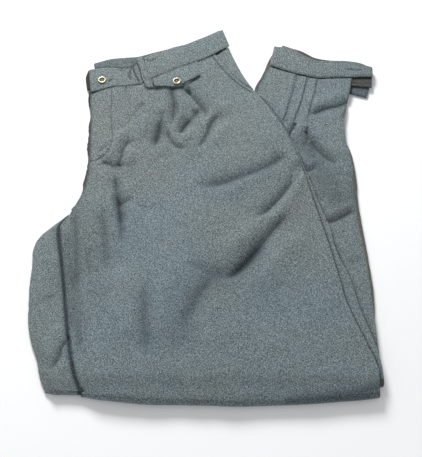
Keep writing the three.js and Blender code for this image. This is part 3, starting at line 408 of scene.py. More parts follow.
def nearest(line, x, y, reach):
    """Which points lie within reach of a line's box, and for those the square of how far from the
    line they are, their side of it (above 0 on its left) and how far along it they are."""
    path = smooth_path(line)
    (low_x, low_y), (high_x, high_y) = path.min(0) - reach, path.max(0) + reach
    near = (x > low_x) & (x < high_x) & (y > low_y) & (y < high_y)
    px, py = x[near], y[near]
    away, side, place = np.full(px.shape, 1e9), np.zeros_like(px), np.zeros_like(px)
    for k, ((ax, ay), (bx, by)) in enumerate(zip(path[:-1], path[1:])):
        ux, uy = bx - ax, by - ay
        t = np.clip(((px - ax) * ux + (py - ay) * uy) / (ux * ux + uy * uy), 0, 1)
        from_part = (px - ax - t * ux) ** 2 + (py - ay - t * uy) ** 2
        closer = from_part < away
        away = np.where(closer, from_part, away)
        side = np.where(closer, ux * (py - ay) - uy * (px - ax), side)
        place = np.where(closer, (k + t) / (len(path) - 1), place)
    return near, away, side, place


def creases(folds, x, y):
    """Height of a panel's folds at every point, and the shade painted into their dents."""
    lift, painted_shade = np.zeros_like(x), np.zeros_like(x)
    for line, left, right, rise, fade_in, fade_out in folds:
        near, away, side, place = nearest(line, x, y, 2.6 * max(left, right))
        wide = np.where(side > 0, left, right)
        form = np.exp(-(np.sqrt(away) / wide) ** (2 if rise > 0 else 1.5))
        form = form * ease(place / fade_in) * ease((1 - place) / fade_out)
        lift[near] += (rise if rise > 0 else 1.15 * rise) * form
        # Painted shade in every dent, deeper for deeper dents.
        if rise < 0:
            painted_shade[near] += 0.7 * form ** 1.3 * min(1, -rise / 3.4)
    return lift, np.clip(painted_shade, 0, 1)


def beside(line, x, y, wide):
    """1 on a line, fading out over about wide mm beside it: where cloth lies in a seam's shade."""
    near, away, _, _ = nearest(line, x, y, 3 * wide)
    shade = np.zeros_like(x)
    shade[near] = np.exp(-away / wide ** 2)
    return shade


def shaded(painted_shade, shades, x, y):
    """Painted shade, laid deeper along lines, each given with how wide and how deep it is."""
    for line, wide, deep in shades:
        painted_shade = np.maximum(painted_shade, deep * beside(line, x, y, wide))
    return painted_shade


def edge_line(rows, side, start=0, stop=None):
    """The first (0) or last (1) edge of a piece's table as a line."""
    return [(row[-2], row[-1]) if side else (row[0], row[1]) for row in rows[start:stop]]


WALL = 1.6  # the twill's thickness, with its nap
KNEE_TURN = 150  # how many degrees a panel turns down round the knee fold
KNEE_STEPS = np.linspace(0.04, 1, 25)  # how much of that turn each of its last lines has made


def knee_turn(y, z, along):
    """Past its last row a panel turns down round the knee fold."""
    angle = np.clip(along - 1, 0, 1) * math.radians(KNEE_TURN)
    inner = (z - WALL) / 2
    turned = along > 1
    return (np.where(turned, y - inner * np.sin(angle), y),
            np.where(turned, inner + WALL + inner * np.cos(angle), z))


def cloth_shell(name, x, y, z, wall, material, painted_shade=None, open_sides="lrse", coarse=1, grain="panel"):
    """Cloth as one closed shell from its underside's grid: its face lies one wall further out, and
    rounds off at its open sides (left, right, start, end). coarse thins the underside's grid. The
    weave runs straight down a panel, and along a band."""
    under = np.stack([x, y, z], -1)
    normal = np.cross(np.gradient(under, axis=1), np.gradient(under, axis=0))
    normal /= np.linalg.norm(normal, axis=-1, keepdims=True)
    turn = 1 if normal[: len(x) // 2 + 1, :, 2].mean() > 0 else -1
    normal *= turn
    thick = np.ones_like(x)
    lip = np.zeros_like(x)
    edges = {"l": under[:, :1], "r": under[:, -1:], "s": under[:1], "e": under[-1:]}
    for letter in open_sides:
        q = np.clip(np.linalg.norm(under - edges[letter], axis=-1) / (1.1 * wall), 0, 1)
        thick = thick * (0.22 + 0.78 * np.sqrt(1 - (1 - q) ** 2))
        lip = np.maximum(lip, 0.3 * (1 - q) ** 2)
    under = under + normal * (lip * wall)[..., None]
    face = under + normal * (thick * (1 - 0.6 * lip) * wall)[..., None]
    lines, columns = x.shape
    step = np.linalg.norm(np.diff(under, axis=1), axis=-1)
    run = np.linalg.norm(np.diff(under, axis=0), axis=-1)
    if grain == "panel":
        cut_u, cut_v = x, under[:1, :, 1] - np.concatenate([0 * run[:1], np.cumsum(run, 0)])
    else:
        cut_u, cut_v = np.meshgrid(*(np.append(0, np.cumsum(size)) for size in (step.mean(0), run.mean(1))))
    low_j, low_i = np.arange(0, lines, coarse), np.arange(0, columns, coarse)
    low = under[np.ix_(low_j, low_i)]
    grid = np.arange(lines * columns).reshape(lines, columns)
    low_grid = np.arange(low.shape[0] * low.shape[1]).reshape(low.shape[:2]) + grid.size

    def quads(g):
        return np.stack([g[:-1, :-1], g[:-1, 1:], g[1:, 1:], g[1:, :-1]], -1).reshape(-1, 4)

    faces = quads(grid)[:, ::turn].tolist() + quads(low_grid)[:, ::-turn].tolist()
    rims = ((grid[0], low_grid[0], 1), (grid[:, -1], low_grid[:, -1], 1),
            (grid[-1], low_grid[-1], -1), (grid[:, 0], low_grid[:, 0], -1))
    for upper, lower, way in rims:
        for k in range(len(lower) - 1):
            fine = upper[k * coarse: (k + 1) * coarse + 1].tolist()
            loop = [lower[k], lower[k + 1]] + fine[::-1]
            faces.append([int(v) for v in loop[::way * turn]])
    points = np.concatenate([face.reshape(-1, 3), low.reshape(-1, 3)])
    cut = np.stack([cut_u, cut_v], -1)
    cuts = np.concatenate([cut.reshape(-1, 2), cut[np.ix_(low_j, low_i)].reshape(-1, 2)])
    spots = np.zeros_like(x) if painted_shade is None else painted_shade
    spots = np.concatenate([spots.ravel(), spots[np.ix_(low_j, low_i)].ravel()])
    return make_mesh(name, points, faces, cuts, material, spots)


def strip(y):
    """Height of this panel, which rises towards the knee fold."""
    return 5.2 + 6.3 * ease((-105 - y) / 145)


INNER_SEAM = [(-202, 16), (-215.5, -10), (-208.5, -60), (-201.5, -105), (-195, -150), (-188, -192),
              (-178.5, -234), (-168, -268)]
across, along = panel_grid(STRIP_ROWS, length=300, columns=61, lines=157, turned=KNEE_STEPS)
x, y = panel_plan(STRIP_ROWS, across, along)
lift, painted_shade = creases(STRIP_FOLDS, x, y)
z = strip(y) - (strip(y) - 2.6) * (1 - ease(across / 0.22)) + lift * ease(across / 0.2)
z = z + (sway(x, y, 31, 60, 0.35) + sway(x, y, 32, 17, 0.12)) * ease(across / 0.15)
z = z - 2.6 * droop(y) * ease(across / 0.3)
x = x + (sway(y, 0, 33, 70, 0.5) + sway(y, 0, 34, 16, 0.22)) * (1 - across)
# Painted shade along the inner seam, where the left leg's edge lies over this panel, and darker towards the
# knee fold.
painted_shade = np.maximum(painted_shade, np.minimum(1, 1.7 * beside(INNER_SEAM, x, y, 4.4)))
painted_shade = np.maximum(painted_shade, 0.3 * ease((-246 - y) / 24))
y, z = knee_turn(y, z, along)
right_back = cloth_shell("right_back_cloth", x, y, z, WALL, outside, painted_shade, "lrs")
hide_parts("right_back")
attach(right_back, "root")


# Right front below the knee. Three stitched tucks shingle it under the cuff and spring open
# below; its right edge is hemmed beside the slit and then folds under down to the knee.
SHIN_ROWS = [  # edge under the left leg x, y, then the three tucks, then the slit's edge
    (100.5, 287, 143, 271, 160, 267, 175, 263, 231, 265), (75, 242, 136, 242, 153, 240, 169, 237, 226, 239),
    (93, 206, 126, 208, 144, 208, 161, 207, 218, 207), (111, 173, 118, 176, 132, 177, 154, 176, 212, 173),
    (129, 135, 135, 139, 142, 141, 154, 141, 215, 141), (145, 92, 152, 95, 160, 98, 172, 100, 221, 101),
    (158.5, 45, 165, 48, 173, 51, 184, 52, 220, 53), (173, -3, 179, -2, 187, 0, 196, 1, 223, 2),
    (186, -54, 192, -54, 199, -54, 207, -53, 229, -52),
    (202.5, -106, 208, -107, 213, -108, 219, -108, 233, -108),
    (216.5, -155, 220, -157, 224, -158, 228, -159, 234.5, -159),
    (222, -236, 225.5, -237, 229, -238, 232.5, -239, 236, -240),
]
SHIN_FOLDS = [
    ([(138, 178), (133, 170), (128, 158), (129, 147)], 3, 4.5, -3.2, 0.08, 0.25),
    ([(129, 152), (134, 132), (143, 114)], 5, 5, -2.4, 0.2, 0.35),
    ([(144, 177), (142, 152), (147, 130)], 5, 5, 1.8, 0.1, 0.35),
    ([(155, 172), (155, 158), (151, 128)], 3, 5, -2.8, 0.1, 0.35),
    ([(154, 166), (157, 155), (167, 135), (183, 112), (201, 99)], 4, 6, -3.4, 0.08, 0.3),
    ([(156, 146), (160, 126), (165, 106)], 8, 8, -2.4, 0.25, 0.3),
    ([(166, 164), (182, 136), (204, 114)], 10, 8, 2.2, 0.2, 0.3),
    ([(145, 89), (157, 94), (170, 101)], 6, 6, -3.4, 0.08, 0.35),
    ([(161, 194), (188, 207), (204, 211), (224, 222)], 5, 6.5, -3.4, 0.12, 0.05),
    ([(161, 207), (183, 219), (218, 237)], 8, 8, 1.8, 0.25, 0.2),
    ([(158, 49), (175, 35)], 4, 4, -1.3, 0.3, 0.3),
    ([(190, 84), (206, 82), (222, 81)], 3, 4, -0.9, 0.3, 0.2),
    ([(171, 1), (192, 7), (217, 23)], 5, 6, -3.2, 0.12, 0.12),
    ([(176, 14), (196, 21), (219, 36)], 7, 7, 2.0, 0.2, 0.2),
    ([(182, 60), (196, 52), (208, 40)], 9, 9, 1.2, 0.3, 0.3),
    ([(200, -70), (214, -62), (226, -58)], 5, 7, -1.2, 0.3, 0.3),
]
BACK_ROWS = [  # the left back's turned edge, which lies over this panel: inner and outer edge x, y
    (64, 219, 84, 226), (82, 183, 106, 192), (102, 138, 126, 150), (120, 92, 145, 103),
    (132, 46, 161, 46), (146, 2, 176, -3), (158, -42, 187, -48), (168, -90, 202, -92),
    (180, -138, 214, -140), (200, -184, 229, -184), (214, -222, 237, -222), (217, -244, 238.5, -246),
]
CUFF_ROWS = [  # the cuff's seam to the leg x, y, and its free edge x, y
    (100.5, 290, 108.5, 328.5), (126, 278.5, 136, 324), (141, 273.5, 150, 313.5), (158, 269, 165, 304.5),
    (176, 264.5, 180, 298.5), (200, 265.2, 202, 297.5), (226, 266, 226, 297), (247, 266.5, 248, 291),
    (264, 267, 264.5, 286),
]
TUCK_LINES = [
    [(142, 272), (138, 249), (135, 240), (124, 201), (117, 184)],
    [(159, 268), (153, 243), (148, 222), (139, 195), (134, 178)],
    [(174, 264), (169, 236), (166, 226), (159, 201), (155, 178), (152, 140)],
]
SLIT_HEM = [(229, 265), (226.5, 246), (220, 220), (211, 190)]
# A row for each line along which shade is painted on the cloth: the line, how wide and how deep.
SHIN_SHADES = [
    (edge_line(BACK_ROWS, 1), 3.6, 0.9), (edge_line(CUFF_ROWS, 0), 1.4, 0.9), (SLIT_HEM, 1.0, 0.8),
    ([(101, 292), (89, 268), (77, 243), (72, 230)], 2.6, 0.85),
    ([(113, 173), (117, 183), (125, 183)], 1.3, 0.8), ([(137, 176), (132, 167), (127, 158)], 2.8, 1.0),
    ([(113, 178), (110, 170), (108, 160)], 2.4, 0.8), ([(155, 166), (156, 158), (160, 150)], 3.2, 0.7),
    ([(167, 92), (184, 65), (198, 39)], 26, 0.36), ([(148, 150), (158, 128), (170, 106)], 14, 0.4),
    ([(157, 156), (170, 134), (192, 108)], 7, 0.42), ([(161, 196), (176, 203), (192, 208)], 5, 0.35),
]
SHIN_HEIGHT = 7.6
# The panel is four lanes side by side, parted by its tucks. Lane 1.5 is half way across the second.
lane_lines = np.concatenate([np.linspace(lane + (0.03 if lane else 0), lane + 0.97, 22) for lane in range(3)]
                            + [[3.03], np.linspace(3.06, 3.9, 36), np.linspace(3.92, 4, 6)])
lane, along = np.meshgrid(lane_lines, grid_lines(490, 226)[0])
index = np.minimum(lane.astype(int), 3)
part = lane - index
lane_edges = np.stack([[read_rows(column, along) for column in np.array(SHIN_ROWS, float).T[axis::2]]
                       for axis in (0, 1)])
low, high = (np.take_along_axis(lane_edges, (index + side)[None, None], 1)[:, 0] for side in (0, 1))
x, y = low * (1 - part) + high * part
lift, painted_shade = creases(SHIN_FOLDS, x, y)
stitched = 1 - ease((along - 0.22) / 0.08)
tuck = np.where(index < 3, 1.5 * part ** 2 * stitched, 0)
roll = 1.6 + 2.6 * ease((along - 0.4) / 0.1)
roll = roll * ease((lane - 3.72) / 0.28) ** 1.3 * ease((along - 0.05) / 0.08)
seam = np.hypot(x - x[:1], y - y[:1])
pucker = 0.16 * np.sin(x / 2.1 + 2 * sway(x, y, 43, 30, 0.5)) * np.exp(-seam / 5)
z = SHIN_HEIGHT + tuck + lift - roll + pucker + sway(x, y, 41, 55, 0.3) + sway(x, y, 42, 16, 0.1)
# Painted shade in the tucks' stitched lines, which are also pressed in, and along the lines of the shade
# table.
for line in TUCK_LINES:
    caught = beside(line, x, y, 0.9)
    z = z - 0.9 * caught
    painted_shade = np.maximum(painted_shade, 0.7 * caught)
painted_shade = shaded(painted_shade, SHIN_SHADES, x, y)
x = x + (sway(y, 0, 44, 40, 0.5) + sway(y, 0, 45, 13, 0.15)) * ease((lane - 3.4) / 0.6)
right_shin = cloth_shell("right_shin_cloth", x, y, z, WALL, outside, painted_shade)
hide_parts("right_shin_front")
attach(right_shin, "root")


# The cuffs: doubled and stiffened bands. The right cuff's front half runs past the slit as a tab
# with a buttonhole, its back half looks out below, and the left leg's cuff lies under both.
CUFF_BACK_ROWS = [
    (112, 290, 122, 333), (142, 276, 153, 320.5), (168, 266, 174, 307.5), (196, 260, 199, 302),
    (222, 253, 225, 301), (244, 250, 248, 296), (261, 248, 265, 286),
]
LEFT_CUFF_ROWS = [(226, 239, 230, 272), (239, 235, 246, 271), (252.5, 231, 263.5, 268)]
CUFF_HEIGHT, CUFF_BACK_HEIGHT = 8.2, 5.0
BAND_WALL = 2.4
LEFT_CUFF_WALL = 4.4  # both of its halves, seen on edge
across, along = panel_grid(CUFF_ROWS, length=165, columns=31, lines=97)
x, y = panel_plan(CUFF_ROWS, 0.012 + 0.988 * across, along)
pillow = ease(across / 0.3) * ease((1 - across) / 0.3)
z = CUFF_HEIGHT + 0.5 * pillow + 0.5 * np.sin(along * 9) ** 2 + sway(x, y, 51, 30, 0.14) * pillow
pucker = 0.22 * np.sin(along * 96 + 2 * np.sin(along * 17))
z = z + pucker * (np.exp(-across / 0.16) + 0.5 * np.exp(-(1 - across) / 0.14))
cuff_front = cloth_shell("right_cuff_front_cloth", x, y, z, BAND_WALL, outside, grain="band")
across, along = panel_grid(CUFF_BACK_ROWS, length=155, columns=31, lines=79)
x, y = panel_plan(CUFF_BACK_ROWS, across, along)
z = CUFF_BACK_HEIGHT - 0.3 * ease((0.25 - across) / 0.25) + sway(x, y, 52, 26, 0.08)
# Painted shade: the back half is darkened all over and most under the front half's edge, and so is the left
# cuff beneath both.
painted_shade = beside([(row[0] + 0.5, row[1] + 1) for row in CUFF_ROWS], x, y, 4)
painted_shade = np.maximum(0.4 + 0.6 * painted_shade, 0.9 * beside([(226, 259), (240, 257), (262, 256)], x, y, 1.4))
cuff_back = cloth_shell("right_cuff_back_cloth", x, y, z, BAND_WALL, twill_in_painted_shade, painted_shade, grain="band")
across, along = panel_grid(LEFT_CUFF_ROWS, length=28, columns=31, lines=31)
x, y = panel_plan(LEFT_CUFF_ROWS, across, along)
painted_shade = 0.45 + 0.55 * np.maximum(beside([(222, 254), (244, 251), (262, 249.5)], x, y, 5),
                                  beside([(222, 262), (226, 240), (228, 230)], x, y, 3))
left_cuff = cloth_shell("left_cuff_cloth", x, y, 0.0 * x, LEFT_CUFF_WALL, outside, painted_shade, grain="band")
for piece, node, finish, size, area in (
        (cuff_front, "cuff_front", "melange_cloth", (0.165, 0.045), 0.0055),
        (cuff_back, "cuff_back", "shaded_cloth", (0.156, 0.046), 0.0062),
        (left_cuff, "left_cuff", "melange_cloth", (0.044, 0.026), 0.0011)):
    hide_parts(node)
    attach(piece, "root")


# Left back: only its turned edge shows, a narrow strip outside the left front's side seam. It
# rolls over the stack's side, where the leg is folded.
SIDE_SEAM = [(13, 306), (33, 276), (56, 250), (75, 234), (100, 194), (122, 150), (140, 100), (152, 52),
             (163, 8), (175, -40), (186, -92), (198, -142), (216, -188), (231, -228), (233, -263)]
across, along = panel_grid(BACK_ROWS, length=500, columns=31, lines=235)
x, y = panel_plan(BACK_ROWS, across, along)
z = thigh(x, y) - 2.8 - 3.0 * ease((across - 0.5) / 0.5) - 3.5 * droop(y)
z = z + sway(x, y, 61, 34, 0.22) * ease((1 - across) / 0.3) + sway(x, y, 62, 15, 0.1)
x = x + (sway(y, 0, 63, 80, 0.7) + sway(y, 0, 64, 18, 0.2)) * ease((across - 0.3) / 0.7)
# Painted shade beside the side seam.
left_back = cloth_shell("left_back_cloth", x, y, z, WALL, outside, beside(SIDE_SEAM, x, y, 2.6))
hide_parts("left_back")
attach(left_back, "root")


# Left front, the largest panel: pleated into the waistband, turned under at the fly and along the
# side seam, and folded down round the knee. Its creases are laid one by one.
FRONT_ROWS = [  # fly or inner seam x, y, half way x, y, and pocket or side seam x, y
    (-184, 235, -96, 256, 13, 306), (-184, 213, -92, 228, 33, 276), (-181, 180, -76, 194, 56, 250),
    (-180.5, 147, -60, 165, 75, 234), (-179.5, 112, -42, 125, 100, 194), (-180.5, 80, -30, 84, 122, 150),
    (-188, 48, -24, 42, 140, 100), (-202, 16, -20, 2, 152, 52), (-215.5, -10, -20, -32, 163, 8),
    (-208.5, -60, -12, -72, 175, -40), (-201.5, -105, -5, -112, 186, -92), (-195, -150, 3, -152, 198, -142),
    (-188, -192, 14, -194, 216, -188), (-178.5, -234, 26, -238, 231, -228),
    (-168.5, -267, 36, -278, 233, -266),
]
WAIST_SEAM = [
    (-184, 235), (-162, 242), (-146, 247), (-127, 248), (-107, 251), (-88, 262), (-67, 273), (-45, 284),
    (-25, 293), (-3, 303), (18, 316), (36, 329),
]
FRONT_FOLDS = [
    # pleats under the flap: rounded ridges, then the dark gaps between them
    ([(-68, 276), (-67, 240), (-64, 208), (-68, 172)], 10, 8, 2.8, 0.01, 0.4),
    ([(-46, 284), (-44, 238), (-40, 206), (-44, 188), (-58, 168)], 6, 5, 3.2, 0.01, 0.35),
    ([(-34, 280), (-30, 224), (-20, 204), (-22, 196)], 5, 6, 3.2, 0.01, 0.3),
    ([(-8, 282), (4, 236), (12, 208), (6, 184), (-8, 164)], 9, 6, 3.0, 0.01, 0.35),
    ([(-56, 244), (-54, 230), (-52, 209), (-52, 190), (-54, 168)], 3.8, 6, -4.2, 0.3, 0.25),
    ([(-44, 247), (-34, 239), (-24, 230)], 6, 5, -3.2, 0.1, 0.35),
    ([(-36, 241), (-25, 229), (-15, 217), (-7, 206), (-2, 194), (-4, 180)], 7.5, 6.5, -3.8, 0.16, 0.35),
    ([(-11, 212), (-14, 200), (-21, 188), (-32, 176), (-41, 160), (-43, 148)], 6, 6, -2.7, 0.3, 0.3),
    ([(-25, 186), (-35, 172), (-42, 154)], 8, 8, -2.2, 0.3, 0.3),
    ([(-71, 206), (-72, 182), (-75, 158), (-79, 140), (-86, 120)], 7, 8, -2.5, 0.2, 0.3),
    ([(-73, 184), (-76, 160), (-82, 132)], 10, 10, -2.4, 0.3, 0.3),
    ([(-51, 222), (-46, 204), (-44, 186)], 3.5, 3.5, -2.4, 0.3, 0.3),
    ([(-64, 166), (-57, 149), (-48, 135), (-29, 127)], 5, 5, -3.2, 0.2, 0.2),
    ([(30, 183), (15, 185), (6, 174), (0, 156), (-8, 139), (-16, 124)], 7, 5, -3.6, 0.3, 0.2),
    ([(42, 166), (26, 164), (18, 150), (8, 130)], 10, 7, 2.4, 0.3, 0.3),
    ([(40, 204), (26, 206), (10, 204)], 10, 8, 2.0, 0.3, 0.3),
    ([(-20, 166), (-26, 154), (-29, 142)], 6, 6, 2.2, 0.3, 0.4),
    ([(-64, 140), (-66, 126), (-60, 112)], 8, 8, 1.6, 0.3, 0.4),
    ([(-96, 196), (-98, 170), (-102, 146)], 9, 9, 1.6, 0.3, 0.4),
    # the dent at the end of the fly, the arc over it and the pulls round them
    ([(-163, 107), (-150, 103), (-138, 98), (-123, 102)], 4.5, 7, -3.6, 0.2, 0.2),
    ([(-136, 99), (-130, 114), (-128, 127), (-120, 141), (-104, 145)], 5, 4.5, -3.4, 0.05, 0.35),
    ([(-158, 122), (-146, 120), (-142, 138), (-130, 156), (-104, 164)], 8, 7, 2.2, 0.3, 0.3),
    ([(-114, 130), (-118, 116), (-112, 98)], 10, 8, 2.8, 0.3, 0.3),
    ([(-95, 218), (-117, 188), (-134, 160)], 3.5, 3.5, -0.9, 0.2, 0.2),
    ([(-168, 121), (-143, 144)], 3.5, 3.5, -1.1, 0.2, 0.3),
    ([(-168, 107), (-152, 119)], 3, 3, -1.0, 0.2, 0.3),
    # the long folds down the thigh
    ([(-138, 84), (-136, 56), (-131, 26), (-127, -1), (-123, -31), (-114, -58)], 7, 5, -3.4, 0.15, 0.35),
    ([(-138, 52), (-130, 20), (-126, -6)], 11, 8, -2.2, 0.3, 0.3),
    ([(-108, 41), (-122, 34), (-134, 31)], 4, 7, -2.2, 0.35, 0.15),
    ([(-114, 80), (-114, 40), (-110, 4), (-102, -50)], 14, 10, 3.0, 0.25, 0.3),
    ([(-145, 56), (-140, 20), (-135, -14), (-131, -46)], 5, 5, 2.4, 0.3, 0.3),
    ([(-157, 30), (-150, -20), (-146, -62), (-139, -100)], 10, 8, -2.4, 0.2, 0.4),
    ([(-172, 16), (-168, -30), (-160, -90)], 7, 7, 2.0, 0.3, 0.3),
    ([(-172, -40), (-167, -94)], 7, 7, -1.8, 0.3, 0.3),
    ([(-197, 24), (-191, -20), (-188, -62), (-184, -100), (-176, -140)], 8, 8, -2.7, 0.12, 0.4),
    ([(-204, 4), (-204, -34), (-198, -74)], 4, 4, 1.8, 0.2, 0.3),
    ([(-198, -70), (-190, -120), (-180, -175), (-172, -222)], 10, 9, -2.2, 0.2, 0.3),
    ([(-124, -74), (-118, -130), (-112, -206)], 19, 16, 3.3, 0.3, 0.25),
    ([(-90, -92), (-86, -160), (-82, -222)], 11, 11, -2.5, 0.3, 0.3),
    ([(-60, -90), (-60, -140), (-62, -206)], 11, 11, 2.4, 0.3, 0.3),
    ([(-106, 27), (-90, 25), (-74, 26)], 4, 5, -1.0, 0.3, 0.3),
    ([(-112, 206), (-98, 213)], 4, 4, -0.9, 0.3, 0.3),
    ([(-129, 244), (-126, 234), (-120, 226)], 3.5, 3.5, -1.0, 0.05, 0.4),
    # the two deep folds running in from the side seam, and the broad ones between them
    ([(121, 117), (104, 101), (83, 88), (56, 76), (28, 65), (0, 59), (-24, 59)], 9, 11, -4.5, 0.14, 0.3),
    ([(112, 98), (62, 68), (12, 34)], 14, 15, 2.6, 0.3, 0.3),
    ([(144, 98), (131, 71), (116, 47), (102, 30), (84, 11), (66, 0)], 5.5, 8.5, -4.8, 0.04, 0.25),
    ([(150, 84), (130, 50), (110, 14), (92, -8)], 12, 9, 4.0, 0.15, 0.3),
    ([(119, 10), (104, -8), (88, -28), (76, -44), (64, -60), (50, -77), (30, -93), (6, -98)],
     7, 9, -4.2, 0.15, 0.3),
    ([(92, -30), (68, -60), (44, -84), (16, -100)], 11, 17, -3.3, 0.35, 0.35),
    ([(44, -76), (16, -94), (-4, -110), (-18, -132), (-29, -158), (-38, -196), (-42, -226)],
     13, 15, -2.8, 0.3, 0.4),
    ([(30, -90), (6, -86), (-14, -76), (-28, -64)], 9, 9, -1.8, 0.3, 0.35),
    ([(142, -22), (112, -52), (88, -84), (60, -122)], 20, 10, 4.0, 0.25, 0.3),
    ([(100, 10), (60, -24), (18, -54)], 16, 14, 3.0, 0.25, 0.3),
    ([(24, -116), (8, -156), (2, -206)], 16, 16, 1.2, 0.3, 0.3),
    ([(60, -150), (30, -176), (-10, -200)], 16, 20, 1.2, 0.3, 0.3),
    ([(190, -120), (150, -150), (120, -190)], 12, 16, 1.4, 0.3, 0.3),
]
FLY_STITCH = [(-152, 248), (-151, 234), (-150, 207), (-149, 180), (-146, 156), (-146, 140), (-150, 127),
              (-158, 117), (-168, 110), (-180, 106)]
POCKET_STITCH = [(6, 311), (10, 304), (16, 294), (23, 283.5), (30, 273.5), (37, 264.5), (44, 256),
                 (53, 246), (61, 240), (69, 233)]
GROOVES = [(FLY_STITCH, 1.5, 1.5, -0.7, 0.01, 0.01), (POCKET_STITCH, 1.5, 1.5, -0.6, 0.01, 0.01)]
# Lines along which shade is painted on the left front: the line, how wide and how deep.
FRONT_SHADES = [
    (edge_line(FRONT_ROWS, 0, 0, 8), 2.8, 0.72), (edge_line(FRONT_ROWS, 0, 8), 2.8, 0.9),
    (WAIST_SEAM, 2.3, 1.0), (FLY_STITCH, 0.9, 0.8), (POCKET_STITCH, 1.3, 1.0),
    ([(13, 314), (22, 300), (34, 284), (47, 268), (59, 255)], 1.2, 0.5),
    # round the flap and between the pleats
    ([(-84, 254), (-85, 246), (-81, 241.5), (-48, 241.5)], 2.8, 1.0),
    ([(-48, 242), (-31, 250), (-14, 265)], 1.5, 0.85), ([(-99, 247), (-94, 241), (-84, 242)], 1.8, 0.9),
    ([(-30, 234), (-18, 220), (-8, 206), (-3, 194)], 5.5, 0.45), ([(-53, 216), (-49, 192)], 5.5, 0.5),
    ([(-74, 168), (-79, 138)], 8, 0.28), ([(-62, 158), (-50, 140), (-34, 131)], 6, 0.3),
    ([(-80, 160), (-60, 136), (-20, 130)], 22, 0.14),
    # down the thigh and at the knee fold
    ([(-205, -30), (-192, -110), (-184, -160)], 16, 0.34),
    ([(-186, 20), (-170, -60), (-160, -110)], 22, 0.16),
    ([(60, -64), (34, -88), (-4, -108), (-24, -140), (-36, -186)], 21, 0.3),
    ([(38, -84), (2, -92)], 18, 0.42), ([(110, -281), (160, -276), (206, -269), (238, -258)], 10, 0.7),
]
WAIST_SHARE = 0.885  # how much of the waist seam the panel's top edge takes up, to which it is drawn
SHIELD_TOP = 7.6
across, along = panel_grid(FRONT_ROWS, length=560, columns=223, lines=304, turned=KNEE_STEPS)
drawn = 1 - ease(along / 0.16)
x, y = (here + drawn * (read_rows(seam, across * WAIST_SHARE) - top)
        for here, seam, top in zip(panel_plan(FRONT_ROWS, across, along), np.array(WAIST_SEAM, float).T,
                                   panel_plan(FRONT_ROWS, across, 0 * along)))
left = x - read_rows(np.array(FRONT_ROWS)[:, 0], along)
right = read_rows(np.array(FRONT_ROWS)[:, 4], along) - x
# Its left edge lies on the fly shield and, further down, on the right back.
edge_level = np.where(y > -2, SHIELD_TOP, strip(y) + 2.2)
level = edge_level + (thigh(x, y) - edge_level) * ease(left / 26)
lift, painted_shade = creases(FRONT_FOLDS, x, y)
grooves = creases(GROOVES, x, y)[0]
calm = ease((left - 1) / 12) * np.where(lift < 0, ease((right + 1) / 8), ease((right + 6) / 16))
seam_run = np.hypot(x - x[:1], y - y[:1])
waist = np.exp(-seam_run / 7)
gather = np.sin(across * 150 + 3 * np.sin(across * 23)) * np.sin(across * 61 + 1)
side = np.hypot(x - x[:, -1:], y - y[:, -1:])
z = level + calm * lift + grooves + 0.5 * gather * waist - 1.0 * np.exp(-seam_run / 2.5) - 5.2 * droop(y)
waves = sway(x, y, 71, 120, 0.55) + sway(x, y, 72, 46, 0.3) + sway(x, y, 73, 17, 0.12)
z = z + waves * ease((left - 1) / 20)
z = z + 0.25 * np.sin(along * 210 + 2 * np.sin(along * 37)) * np.exp(-side / 6) * ease((along - 0.3) / 0.1)
# Painted shade: the folds' dents away from the panel's edges, the shade lines, and darker towards the knee
# fold.
painted_shade = shaded(painted_shade * calm, FRONT_SHADES, x, y)
painted_shade = np.maximum(painted_shade, 0.3 * ease((-264 - y) / 13))
x = x + (sway(y, 0, 74, 44, 0.35) + sway(y, 0, 75, 14, 0.14)) * np.exp(-np.minimum(left, side) / 5)
y, z = knee_turn(y + sway(x, 0, 76, 90, 0.8) * ease((along - 0.96) / 0.04), z, along)
left_front = cloth_shell("left_front_cloth", x, y, z, WALL, outside, painted_shade, "lrs", coarse=2)
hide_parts("left_front")
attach(left_front, "root")


# Pocket facing: the hip piece of the same twill that is seen inside the slant pocket. It is sewn in
# the side seam and lies a little lower than the pocket's edge.
FACING_ROWS = [
    (5, 301, 34, 327.5), (17, 285, 39.5, 313), (27, 270, 45, 299), (38, 256, 52, 282), (49, 245, 59.5, 265),
    (58, 234, 68, 249), (66, 226, 75.5, 236),
]
across, along = panel_grid(FACING_ROWS, length=115, columns=25, lines=73)
x, y = panel_plan(FACING_ROWS, across, along * 0.93)
z = thigh(x, y) - 2.1 - 1.6 * ease((across - 0.75) / 0.25) + sway(x, y, 81, 22, 0.12)
# Painted shade beside the side seam, under the pocket's edge.
facing = cloth_shell("pocket_facing_cloth", x, y, z, WALL, outside, beside(SIDE_SEAM, x, y, 3.2))
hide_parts("pocket_facing")
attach(facing, "root")


# Fly shield: the placket behind the fly, looking out a little past the centre front, wavy where
# its two rows of stitches draw it in.
SHIELD_ROWS = [
    (-187, 245, -173, 243), (-188, 226, -173, 224), (-184.5, 208, -172, 206), (-182.5, 190, -171, 188),
    (-183.5, 173, -170, 171), (-182, 160, -170, 157), (-183.5, 140, -170, 138), (-182, 118, -171, 116),
    (-182, 98, -172, 96), (-184, 83, -174, 78), (-186, 70, -177, 62), (-185, 58, -181, 48),
    (-191, 40, -188, 32), (-201, 25, -196, 20),
]
SHIELD_HEIGHT = 5.6
across, along = panel_grid(SHIELD_ROWS, length=225, columns=22, lines=148)
x, y = panel_plan(SHIELD_ROWS, across, along)
z = SHIELD_HEIGHT - 2.4 * (1 - ease(across / 0.6)) + 0.3 * np.sin(along * 26) * (1 - across)
x = x + (sway(y, 0, 91, 26, 0.6) + sway(y, 0, 92, 9, 0.3) - 0.7) * (1 - across)
